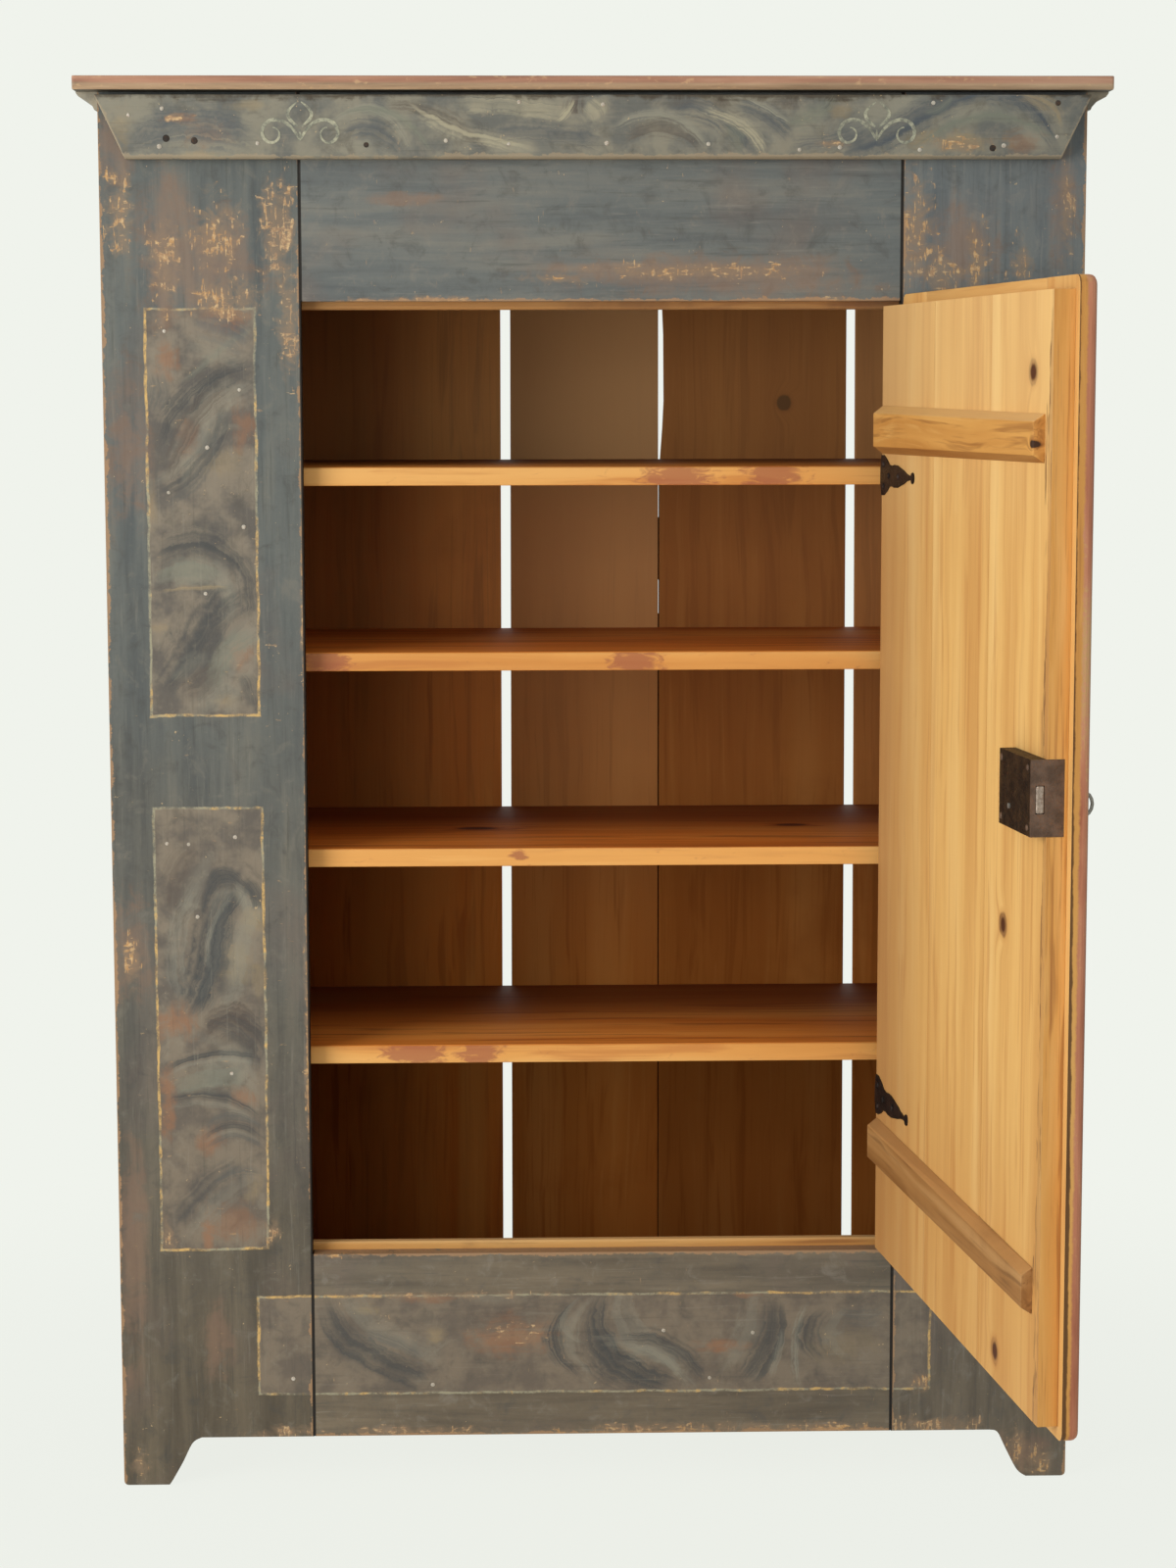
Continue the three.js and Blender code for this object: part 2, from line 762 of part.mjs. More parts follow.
function lockCase() {
  const left = boardLeft + lockPlateThickness + seatGap;
  const top = lockBottom + lockHeight;
  let solid = box([left, lockRight], [boardBack + seatGap, lockFront], [lockBottom, top]);
  solid = solid.subtract(box(
    [left - cutOverrun, lockRight - lockWall],
    [boardBack - cutOverrun, lockFront - lockWall],
    [lockBottom + lockWall, top - lockWall],
  ));
  solid = solid.subtract(roundAlongY(shankRadius + shankHoleGap, keyX, keyHeight, boardBack, lockFront + cutOverrun));
  return part('lock_case', solid, agedIron);
}

function lockBolt() {
  const face = boardBack + boltFaceGap;
  const end = boardLeft - boltShow;
  const top = boltBottom + boltHeight;
  const across = [face, face + boltThickness];
  let solid = box([end, end + boltHeadLength], across, [boltBottom, top]);
  solid = solid.add(box([end, end + boltTailLength], across, [top - boltTailHeight, top]));
  solid = solid.subtract(box(
    [end + talonStart, end + talonStart + talonLength],
    [across[0] - cutOverrun, across[1] + cutOverrun],
    [top - boltTailHeight - cutOverrun, top - boltTailHeight + talonDepth],
  ));
  return part('lock_bolt', solid, agedIron);
}

function keyHole(from, to) {
  const slot = box(
    [keyX - keySlotWidth / 2, keyX + keySlotWidth / 2],
    [from, to],
    [keyHeight - keySlotDepth, keyHeight],
  );
  return roundAlongY(shankRadius + shankHoleGap, keyX, keyHeight, from, to).add(slot);
}

function escutcheon() {
  const shape = new THREE.Shape();
  shape.absellipse(keyX, keyHeight, escutcheonWidth / 2, escutcheonHeight / 2, 0, 2 * Math.PI, false, 0);
  const back = frameFront - seatGap;
  const plate = toSolid(alongY(shape, back - escutcheonThickness, back, mouldingSegments * 2));
  return part('escutcheon', plate.subtract(keyHole(back - cutOverrun, back + cutOverrun)), agedIron);
}

function keyBow(start) {
  const shape = new THREE.Shape();
  const middle = start - bowLength / 2;
  shape.absellipse(middle, keyHeight, bowLength / 2 - bowEase, bowHeight / 2 - bowEase, 0, 2 * Math.PI, false, 0);
  const hole = new THREE.Path();
  hole.absellipse(middle, keyHeight, bowLength / 2 - bowWire + bowEase, bowHeight / 2 - bowWire + bowEase,
    0, 2 * Math.PI, true, 0);
  shape.holes.push(hole);
  const geometry = new THREE.ExtrudeGeometry(shape, {
    depth: bowThickness - 2 * bowEase,
    bevelEnabled: true,
    bevelThickness: bowEase,
    bevelSize: bowEase,
    bevelSegments: 2,
    curveSegments: mouldingSegments * 2,
  });
  const turn = new THREE.Matrix4().makeBasis(
    new THREE.Vector3(0, 1, 0),
    new THREE.Vector3(0, 0, 1),
    new THREE.Vector3(1, 0, 0),
  );
  geometry.applyMatrix4(turn);
  geometry.translate(keyX - bowThickness / 2 + bowEase, 0, 0);
  return toSolid(geometry);
}

function key() {
  const bowStart = frameFront - bowStandOff;
  const bitBack = lockFront - lockWall - bitFaceGap;
  let solid = roundAlongY(shankRadius, keyX, keyHeight, bowStart - bowWire / 2, lockFront + shankTipProud);
  solid = solid.add(keyBow(bowStart));
  solid = solid.add(roundAlongY(collarRadius, keyX, keyHeight, bowStart - collarLength / 2,
    bowStart + collarLength / 2));
  solid = solid.add(box(
    [keyX - bitThickness / 2, keyX + bitThickness / 2],
    [bitBack - bitLength, bitBack],
    [keyHeight - bitReach, keyHeight],
  ));
  return part('key', solid, agedIron);
}

// Assembly

const group = new THREE.Group();
group.name = 'kas_cupboard';

const carcass = new THREE.Group();
carcass.name = 'carcass';
carcass.add(
  frontStile('front_stile_left', bodyLeft, openingLeft, leftFootWidth, leftFootSlant, leftFootShares),
  frontStile('front_stile_right', bodyRight, openingRight, rightFootWidth, rightFootSlant, rightFootShares),
  frontRail('bottom_rail', archHeight, bottomRailTop),
  frontRail('top_rail', topRailBottom, bodyHeight),
  doorStop('door_stop_top', topRailBottom, -1),
  doorStop('door_stop_bottom', bottomRailTop, 1),
  sidePanel('side_panel_left', interiorLeft, bodyLeft),
  sidePanel('side_panel_right', interiorRight, bodyRight),
  topBoard(),
  friezeBoard(),
  coveMoulding('cove_moulding_left', bodyLeft, -1),
  coveMoulding('cove_moulding_right', bodyRight, 1),
);

const backLeft = interiorLeft - rebateWidth + backEdgeGap;
const backRight = interiorRight + rebateWidth - backEdgeGap;
carcass.add(
  backBoard('back_board_1', [backLeft, backLeft], backBoardOneRight),
  backBoard('back_board_2', backBoardTwoLeft, backBoardTwoRight),
  backBoard('back_board_3', backBoardThreeLeft, backBoardThreeRight, waneEdge(backBoardThreeLeft)),
  backBoard('back_board_4', backBoardFourLeft, [backRight, backRight]),
);

shelfTops.forEach((top, index) => {
  const number = index + 1;
  const underside = top - shelfThickness;
  carcass.add(
    shelf(`shelf_${number}`, top, shelfThickness),
    cleat(`shelf_${number}_cleat_left`, interiorLeft, 1, underside),
    cleat(`shelf_${number}_cleat_right`, interiorRight, -1, underside),
  );
});

const bottomUnderside = bottomBoardTop - bottomBoardThickness;
carcass.add(
  shelf('bottom_board', bottomBoardTop, bottomBoardThickness),
  cleat('bottom_cleat_left', interiorLeft, 1, bottomUnderside),
  cleat('bottom_cleat_right', interiorRight, -1, bottomUnderside),
);

const hingeNames = ['upper', 'lower'];
hingeNames.forEach((name, index) => {
  carcass.add(
    frameLeaf(`hinge_${name}_frame_leaf`, hingeMiddles[index]),
    hingePin(`hinge_${name}_pin`, hingeMiddles[index]),
  );
});

const door = new THREE.Group();
door.name = 'door';
door.position.set(hingeLine, frontFace, 0);
door.rotation.z = THREE.MathUtils.degToRad(doorOpenDegrees);
for (let index = 0; index <= doorBoardEdges.length; index += 1) {
  door.add(doorBoard(`door_board_${index + 1}`, index));
}
door.add(...doorFrame());
hingeNames.forEach((name, index) => {
  door.add(doorBatten(`batten_${name}`, battenBottoms[index]));
  door.add(doorLeaf(`hinge_${name}_door_leaf`, hingeMiddles[index]));
});
door.add(lockPlate(), lockCase(), lockBolt(), escutcheon(), key());

group.add(carcass, door);

export default group;
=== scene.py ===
import json
import math
import random
from collections import namedtuple
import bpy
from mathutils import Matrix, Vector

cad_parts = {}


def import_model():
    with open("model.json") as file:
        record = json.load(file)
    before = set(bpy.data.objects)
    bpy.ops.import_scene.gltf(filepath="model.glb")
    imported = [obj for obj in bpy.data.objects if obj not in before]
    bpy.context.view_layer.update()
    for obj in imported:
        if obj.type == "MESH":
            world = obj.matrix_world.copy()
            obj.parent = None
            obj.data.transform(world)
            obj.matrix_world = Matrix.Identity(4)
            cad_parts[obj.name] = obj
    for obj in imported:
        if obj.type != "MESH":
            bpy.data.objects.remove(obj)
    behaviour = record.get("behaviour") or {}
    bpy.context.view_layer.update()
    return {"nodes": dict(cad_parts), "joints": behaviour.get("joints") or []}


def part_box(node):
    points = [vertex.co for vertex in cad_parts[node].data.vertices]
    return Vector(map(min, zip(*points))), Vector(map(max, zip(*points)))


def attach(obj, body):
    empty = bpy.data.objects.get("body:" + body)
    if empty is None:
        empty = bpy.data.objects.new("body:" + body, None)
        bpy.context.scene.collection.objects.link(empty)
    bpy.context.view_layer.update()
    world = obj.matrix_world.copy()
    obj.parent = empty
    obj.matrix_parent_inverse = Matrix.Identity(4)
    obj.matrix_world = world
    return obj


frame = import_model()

from types import SimpleNamespace

import bmesh
import bpy
from mathutils import Matrix, Vector

nodes = frame["nodes"]

# Places that several pieces share, in metres
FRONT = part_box("top_rail")[0].y
LEFT, OPENING_LEFT = (corner.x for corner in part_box("front_stile_left"))
OPENING_RIGHT, RIGHT = (corner.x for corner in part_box("front_stile_right"))
RAIL_FOOT, OPENING_FOOT = (corner.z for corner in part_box("bottom_rail"))
OPENING_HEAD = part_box("top_rail")[0].z
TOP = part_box("top_board")[1].z
FRIEZE_LOW, FRIEZE_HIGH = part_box("frieze_board")
FRIEZE_SLOPE = 0.016 / 0.075
DOOR_JOINT = next(joint for joint in frame["joints"] if joint["name"] == "door_hinge")
HINGE = Vector((DOOR_JOINT["pos_m"][0], DOOR_JOINT["pos_m"][1], 0))
DOOR_TURN = math.radians(97)
DOOR_WIDTH = 0.759
SHELVES = ("shelf_1", "shelf_2", "shelf_3", "shelf_4", "bottom_board")
SHELF_MIDDLES = [(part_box(name)[0].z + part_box(name)[1].z) / 2 for name in SHELVES]
PAGE = (0.871, 0.896, 0.839, 1)


def srgb(red, green, blue):
    """A colour written from 0 to 255, as Blender's linear values."""
    def linear(value):
        share = value / 255
        return share / 12.92 if share <= 0.04045 else ((share + 0.055) / 1.055) ** 2.4
    return (linear(red), linear(green), linear(blue), 1)


class Value:
    """An output socket. Sums and products of it add their nodes to its tree."""

    def __init__(self, tree, socket):
        self.tree, self.socket = tree, socket

    def __add__(self, other):
        return self.tree.math("ADD", self, other)

    def __sub__(self, other):
        return self.tree.math("SUBTRACT", self, other)

    def __mul__(self, other):
        return self.tree.math("MULTIPLY", self, other)

    def __neg__(self):
        return self * -1.0

    def __abs__(self):
        return self.tree.math("ABSOLUTE", self)

    def swing(self, amount):
        """A value around one half, as a swing around zero."""
        return (self - 0.5) * amount


class Nodes:
    """Adds nodes to a tree. Colours of three values count from 0 to 255; those of four are linear already."""

    def __init__(self, tree):
        self.tree = tree

    def put(self, socket, value):
        if isinstance(value, Value):
            self.tree.links.new(value.socket, socket)
        elif socket.type == "RGBA" and len(value) == 3:
            socket.default_value = srgb(*value)
        else:
            socket.default_value = value

    def node(self, kind, inputs, **settings):
        """Adds a node and returns its outputs."""
        made = self.tree.nodes.new("ShaderNode" + kind)
        for key, value in settings.items():
            setattr(made, key, value)
        for key, value in inputs.items():
            self.put(made.inputs[key], value)
        return [Value(self, socket) for socket in made.outputs]

    def named(self, kind, *titles):
        """Adds a node without inputs and returns some of its outputs."""
        made = self.tree.nodes.new("ShaderNode" + kind)
        return [Value(self, made.outputs[title]) for title in titles]

    def math(self, operation, first, second=0.0, third=0.0):
        return self.node("Math", {0: first, 1: second, 2: third}, operation=operation)[0]

    def most(self, high, *others):
        for value in others:
            high = self.math("MAXIMUM", high, value)
        return high

    def xyz(self, vector):
        return self.node("SeparateXYZ", {0: vector})

    def vector(self, x, y, z):
        return self.node("CombineXYZ", {0: x, 1: y, 2: z})[0]

    def moved(self, vector, offset):
        return self.node("VectorMath", {0: vector, 1: offset}, operation="ADD")[0]

    def scaled(self, vector, size, shift):
        return self.node("VectorMath", {0: vector, 1: size, 2: shift}, operation="MULTIPLY_ADD")[0]

    def turned(self, vector, **settings):
        return self.node("Mapping", {"Vector": vector, **settings}, vector_type="TEXTURE")[0]

    def noises(self, vector, scale=1.0, detail=3.0, rough=0.55, twist=0.0):
        """A noise as a value and as a colour."""
        return self.node("TexNoise", {"Vector": vector, "Scale": scale, "Detail": detail,
                                      "Roughness": rough, "Distortion": twist})

    def noise(self, *values):
        return self.noises(*values)[0]

    def drawn(self, vector, size, shift, detail, rough, twist=0.0):
        """Noise of its own size along each axis."""
        return self.noise(self.scaled(vector, size, shift), 1.0, detail, rough, twist)

    def step(self, value, low, high, to_low=0.0, to_high=1.0):
        """Smooth step from low to high. It falls where low is above high."""
        if low > high:
            low, high, to_low, to_high = high, low, to_high, to_low
        return self.node("MapRange", {0: value, 1: low, 2: high, 3: to_low, 4: to_high},
                         interpolation_type="SMOOTHSTEP")[0]

    def mix(self, share, first, second, blend="MIX"):
        return self.node("Mix", {0: share, 6: first, 7: second}, data_type="RGBA", blend_type=blend)[2]

    def over(self, colour, tone, value, low, high, amount=1.0):
        """A tone over a colour, from none where the value is low to the amount where it is high."""
        return self.mix(self.step(value, low, high, 0.0, amount), colour, tone)

    def layers(self, colour, *listed):
        """Several tones over a colour, each listed as over takes it."""
        for layer in listed:
            colour = self.over(colour, *layer)
        return colour

    def ramp(self, value, *stops):
        made = self.tree.nodes.new("ShaderNodeValToRGB")
        self.put(made.inputs[0], value)
        elements = made.color_ramp.elements
        while len(elements) < len(stops):
            elements.new(0.5)
        for element, (place, colour) in zip(elements, stops):
            element.position = place
            element.color = srgb(*colour)
        return Value(self, made.outputs[0])

    def spot(self, vector, middle, radii):
        """One at the middle of an ellipsoid, falling evenly to zero at its surface."""
        inside = self.turned(vector, Location=middle, Scale=radii)
        return self.node("TexGradient", {0: inside}, gradient_type="SPHERICAL")[1]

    def spots(self, vector, listed):
        return self.most(*[self.spot(vector, middle, radii) for middle, radii in listed])

    def line(self, value, place, half, soft=0.001):
        """One within half of a place along a coordinate, with soft edges."""
        return self.step(abs(value - place), half + soft, half)


class Tree(Nodes):
    """Builds one material, with the place and the normal that it is laid out by."""

    def __init__(self, name, roughness, metallic=0.0, specular=0.3, space=None):
        self.material = bpy.data.materials.new(name)
        self.material.use_nodes = True
        super().__init__(self.material.node_tree)
        self.shader = self.tree.nodes["Principled BSDF"]
        self.put(self.shader.inputs["Roughness"], roughness)
        self.put(self.shader.inputs["Metallic"], metallic)
        self.put(self.shader.inputs["Specular IOR Level"], specular)
        self.place, self.normal = self.named("TexCoord", "Object", "Normal")
        if space == "carcass":
            # with the front face at y = 0, as on the door
            self.place = self.scaled(self.place, (1, 1, 1), (0, -FRONT, 0))
        if space == "door":
            # closed, with the hinge line at zero
            turn = (0, 0, DOOR_TURN)
            self.place = self.turned(self.place, Location=HINGE, Rotation=turn)
            self.normal = self.turned(self.normal, Rotation=turn)
        self.across, self.depth, self.up = self.xyz(self.place)
        self.flat = self.vector(self.across, self.up, 0.0)
        self.sideways, self.rearward, self.rise = self.xyz(self.normal)

    def finish(self, colour, bump, depth, roughness=None):
        self.put(self.shader.inputs["Base Color"], colour)
        made = self.node("Bump", {"Height": bump, "Distance": depth, "Strength": 1.0})
        self.put(self.shader.inputs["Normal"], made[0])
        if roughness is not None:
            self.put(self.shader.inputs["Roughness"], roughness)
        return self.material


class Group(Nodes):
    """A node group that materials share."""

    def __init__(self, name, inputs, outputs):
        super().__init__(bpy.data.node_groups.new(name, "ShaderNodeTree"))
        for way, titles in (("INPUT", inputs), ("OUTPUT", outputs)):
            for title in titles:
                self.tree.interface.new_socket(title, in_out=way, socket_type="NodeSocketFloat")
        given = self.tree.nodes.new("NodeGroupInput").outputs
        self.inputs = {title: Value(self, given[title]) for title in inputs}
        self.outputs = self.tree.nodes.new("NodeGroupOutput").inputs


# Wood that was never painted

Wood = namedtuple("Wood", "low mid high streak knot")
PINE = Wood((216, 162, 92), (232, 183, 109), (241, 200, 130), (200, 140, 76), (84, 44, 20))
DARK_PINE = Wood((166, 100, 42), (182, 116, 52), (196, 134, 68), (144, 82, 32), (52, 24, 10))
# pine darkened as painted shade, for faces inside the cupboard and the back board in the corner
SHADE_PINE = Wood((142, 76, 28), (162, 92, 36), (178, 110, 48), (112, 52, 18), (40, 18, 8))
SHELF_PINE = Wood((196, 110, 34), (222, 134, 50), (236, 160, 74), (138, 62, 18), (52, 20, 8))
EDGE_PINE = Wood((214, 144, 68), (230, 166, 88), (240, 188, 112), (190, 114, 56), (120, 60, 32))
SAWN_PINE = Wood((204, 138, 66), (222, 162, 84), (236, 184, 110), (146, 88, 42), (90, 50, 26))
BATTEN_PINE = Wood((192, 130, 60), (218, 160, 84), (234, 186, 112), (132, 76, 32), (62, 38, 22))
OLD_BATTEN = Wood((138, 92, 46), (166, 118, 66), (190, 144, 90), (104, 64, 30), (66, 38, 20))
DUSTY_PINE = Wood((112, 84, 62), (136, 106, 80), (158, 130, 102), (88, 62, 44), (60, 38, 24))
# smoke brown, also the colour of the painted shade at the foot of the back boards
SMOKE_AND_SHADE = (84, 38, 14)
ALONG_X, ALONG_Y, ALONG_Z = 0, 1, 2


def stretched(across, along, axis):
    """Sizes on three axes, with another one along an axis."""
    return [along if index == axis else across for index in range(3)]


def grain_colour(tree, axis, wood, knots=(), seed=0.0, wide=13.0):
    """Flat-sawn pine with its grain along an axis. Knots are (middle, radii) pairs."""
    place = tree.place
    if knots:
        knot = tree.spots(place, [(middle, [3 * radius for radius in radii]) for middle, radii in knots])
        pull = tree.step(knot, 0.0, 1.0) * 0.02
        place = tree.moved(place, tree.vector(pull, 0.0, pull))
    bend = tree.noise(place, 3.0, 2.0) * 0.03
    bent = tree.moved(place, tree.vector(bend, bend, bend))
    bands = tree.drawn(bent, stretched(wide, 0.7, axis), (seed, seed, seed), 2.5, 0.6)
    rings = tree.drawn(bent, stretched(60.0, 2.2, axis), (seed, 0, seed), 3.0, 0.6, 0.4)
    fine = tree.drawn(place, stretched(230.0, 5.0, axis), (0, seed, 0), 4.0, 0.65)
    colour = tree.layers(
        tree.ramp(bands, (0.32, wood.low), (0.5, wood.mid), (0.68, wood.high)),
        (wood.streak, rings, 0.52, 0.66, 0.55), (wood.high, rings, 0.44, 0.3, 0.35),
        (wood.streak, fine, 0.56, 0.7, 0.3))
    if knots:
        colour = tree.layers(colour, (wood.streak, knot, 0.5, 0.72, 0.55),
                             (wood.knot, knot + rings.swing(0.2), 0.66, 0.76))
    return colour, rings * 0.6 + fine * 0.4, fine


def dirt(tree, colour, amount, tone):
    """Uneven grime in broad clouds."""
    return tree.over(colour, tone, tree.noise(tree.place, 5.5, 5.0, 0.62), 0.5, 0.78, amount)


def side_inner(tree, seed):
    """Bare wood on the faces of painted boards that look into the cupboard, in pine darkened as painted
    shade.
    """
    return dirt(tree, grain_colour(tree, ALONG_Z, SHADE_PINE, (), seed, 9.0)[0], 0.5, (72, 34, 14))


# painted shadow of the stile and painted light beyond it, on the back board in the corner
CORNER_SHADE, CORNER_LIGHT = (0.6, 0.54, 0.52, 1), (1.75, 2.05, 2.1, 1)
NAIL_START, NAIL_STEP = 1.03, 0.11
SEAM, SEAM_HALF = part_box("back_board_2")[1].x + 0.0002, 0.004


def rear_face(tree, seed, fine):
    """Raw grey wood with damp patches, and rusty nails along the middles of the shelves."""
    damp = tree.drawn(tree.place, (5, 1, 1.3), (seed, 0, 0), 5.0, 0.6, 0.6)
    level = abs(tree.up - SHELF_MIDDLES[0])
    for middle in SHELF_MIDDLES[1:]:
        level = tree.math("MINIMUM", level, abs(tree.up - middle))
    aside = tree.math("MODULO", tree.across + NAIL_START, NAIL_STEP) - NAIL_STEP / 2
    nail = tree.math("SQRT", level * level + aside * aside)
    return tree.layers(
        (120, 104, 84), ((158, 140, 114), fine, 0.35, 0.7), ((146, 118, 84), damp, 0.36, 0.6, 0.75),
        ((92, 82, 70), damp + tree.up * -0.25, 0.5, 0.18, 0.6), ((86, 60, 42), nail, 0.012, 0.003, 0.5),
        ((46, 38, 34), nail, 0.0045, 0.0035))


def back_board_wood(name, seed, wood=DARK_PINE, knots=(), top_light=0.5, foot_shade=0.0, smoke=0.0, bands=0.0,
                    corner=False):
    """Smoke-brown inside, with painted light towards the top, painted shade at the foot, and darker all over
    by smoke.

    Bands is the strength of broad pale streaks up the board. A board in the corner carries a painted shadow
    of the stile towards the side of the body and painted light away from it.
    """
    tree = Tree(name, 0.8, specular=0.0, space="carcass")
    colour, height, fine = grain_colour(tree, ALONG_Z, wood, knots, seed, 9.0)
    colour = tree.mix(smoke, dirt(tree, colour, 0.4, wood.streak), SMOKE_AND_SHADE)
    broad = tree.drawn(tree.place, (11, 1, 0.5), (seed, 0, 0), 4.0, 0.55, 0.3)
    # broad pale streaks, then painted light towards the top and painted shade at the foot
    colour = tree.layers(colour, ((158, 104, 50), broad, 0.44, 0.62, bands),
                         ((216, 170, 118), tree.up, 0.5, 1.56, top_light), (SMOKE_AND_SHADE, tree.up, 0.62, 0.36, foot_shade))
    if corner:
        # painted shadow of the stile near the side of the body, painted light further in
        wavy = tree.across + broad.swing(0.05)
        colour = tree.mix(tree.step(wavy, -0.235, -0.34), colour, CORNER_SHADE, "MULTIPLY")
        colour = tree.mix(tree.step(wavy, -0.275, -0.13), colour, CORNER_LIGHT, "MULTIPLY")
    colour = tree.over(colour, rear_face(tree, seed, fine), tree.rearward, 0.4, 0.8)
    # the board edges in the closed seam are painted near black, a painted shade in the narrow gap
    seam = tree.line(tree.across, SEAM, SEAM_HALF) * tree.step(tree.up, 1.36, 1.3)
    inside = tree.step(abs(tree.sideways), 0.4, 0.7)
    return tree.finish(tree.mix(seam * inside, colour, (16, 9, 5)), height, 0.0006)


def shelf_wood(name, seed, spots=(), knots=(), light=(0.0, (250, 194, 116)), back_shade=0.8):
    """Reddish boards, darkened towards the back as painted shade, with a planed yellow front edge."""
    tree = Tree(name, 0.62, space="carcass")
    colour, height, fine = grain_colour(tree, ALONG_X, SHELF_PINE, knots, seed, 11.0)
    # painted shade deepens towards the back, under the shelf above
    colour = tree.over(colour, (84, 28, 10), tree.depth + fine * 0.05, 0.08, 0.40, back_shade)
    edge = grain_colour(tree, ALONG_X, EDGE_PINE, (), seed + 4, 16.0)[0]
    edge = tree.mix(light[0], edge, light[1])
    if spots:
        broken = tree.drawn(tree.place, (40, 60, 110), (seed, 0, 0), 4.0, 0.65, 0.8)
        mask = tree.spots(tree.place, slabs(spots)) + broken.swing(1.7)
        edge = tree.over(edge, (158, 88, 66), mask, 0.2, 0.62, 0.7)
    return tree.finish(tree.over(colour, edge, -tree.rearward, 0.5, 0.8), height, 0.0004)


def lath_wood(name, grime):
    """A dirty lath, worn pale on top."""
    tree = Tree(name, 0.66, space="carcass")
    colour, height, fine = grain_colour(tree, ALONG_X, BATTEN_PINE, (), 7.0, 20.0)
    colour = tree.mix(grime, dirt(tree, colour, 0.75, (104, 66, 34)), (124, 92, 72))
    colour = tree.over(colour, (222, 184, 128), tree.rise + fine * 0.3, 0.5, 0.95, 0.5)
    return tree.finish(colour, height, 0.0004)


# Milk paint

def milk_paint(tree, axis, seed, warm=0.0):
    """Plain paint, bluer at the top and browner towards the floor, with the values that wear is made from."""
    def along(size, along_size, shift, *values):
        return tree.drawn(tree.place, stretched(size, along_size, axis), shift, *values)

    def spread(size, shift, *values):
        return tree.noise(tree.scaled(tree.place, (1, 1, 1), shift), size, *values)

    fine = along(150.0, 7.0, (seed, 0, seed), 4.0, 0.7)
    streaks = along(34.0, 3.5, (seed, seed, 0), 4.0, 0.62, 0.3)
    clouds = spread(5.0, (seed, 0, 0), 4.0, 0.6)
    mottle = spread(30.0, (0, seed, 0), 6.0, 0.68, 0.6)
    specks = spread(190.0, (0, seed, 0), 3.0, 0.7)
    low = tree.step(tree.up + clouds * 0.9, 1.75, 0.5) + warm
    low = tree.math("MINIMUM", tree.most(low, 0.0), 1.0)
    blue = tree.ramp(streaks, (0.3, (92, 97, 97)), (0.5, (107, 111, 108)), (0.7, (122, 122, 114)))
    brown = tree.ramp(streaks, (0.3, (88, 79, 66)), (0.5, (105, 95, 79)), (0.7, (122, 110, 91)))
    colour = tree.layers(
        tree.mix(low, blue, brown), ((116, 99, 88), clouds, 0.5, 0.66, 0.4),
        ((78, 77, 73), mottle, 0.5, 0.72, 0.5), ((136, 130, 118), mottle, 0.46, 0.3, 0.4),
        ((72, 72, 68), fine, 0.53, 0.72, 0.45), ((146, 142, 130), fine, 0.44, 0.28, 0.35))
    wood = tree.layers((172, 136, 102), ((206, 154, 90), clouds, 0.42, 0.58),
                       ((228, 196, 146), specks, 0.42, 0.66))
    return SimpleNamespace(
        colour=colour, wood=wood, fine=fine, streaks=streaks, clouds=clouds, mottle=mottle, specks=specks,
        low=low, patches=spread(42.0, (seed, seed, 0), 3.0, 0.65, 0.8),
        flecks=along(230.0, 42.0, (0, 0, seed), 2.0, 0.6), cross=along(60.0, 250.0, (0, seed, 0), 2.0, 0.6),
        rub=streaks * 0.7 + specks * 0.5, height=streaks * 0.5 + specks * 0.35,
        shine=tree.step(specks, 0.3, 0.7, 0.5, 0.72))


def chipped(tree, paint, colour):
    """Small chips through to the wood, gathered in clouds."""
    chips = tree.step(paint.specks + paint.patches * 0.6, 1.02, 1.08)
    scratches = tree.step(paint.cross + paint.patches * 0.5, 0.98, 1.06)
    return tree.mix(tree.most(chips, scratches * 0.5) * 0.55, colour, paint.wood)


def veiled(tree, colour, tone, near, broken, low, high, fade, amount):
    """A tone in ragged patches over places that near is the mask of."""
    patchy = tree.step(near + broken, low, high) * tree.step(near, 0.0, fade)
    return tree.mix(patchy * amount, colour, tone)


# Brush strokes of the marbling

TONES = {"dark": (66, 69, 69), "brown": (86, 76, 68), "grey": (94, 94, 89), "blue": (82, 88, 92),
         "green": (122, 125, 110), "pale": (146, 144, 128), "cream": (176, 169, 142),
         "tan": (160, 142, 108), "rust": (152, 110, 80), "shadow_umber": (70, 60, 46)}
BRUSH_WIDTH, STROKE_POWER, BLOT_REACH = 1.75, 1.25, 1.6
PANEL_GROUND = ((98, 93, 86), (133, 123, 107))
FRIEZE_GROUND = ((106, 107, 101), (138, 134, 118))


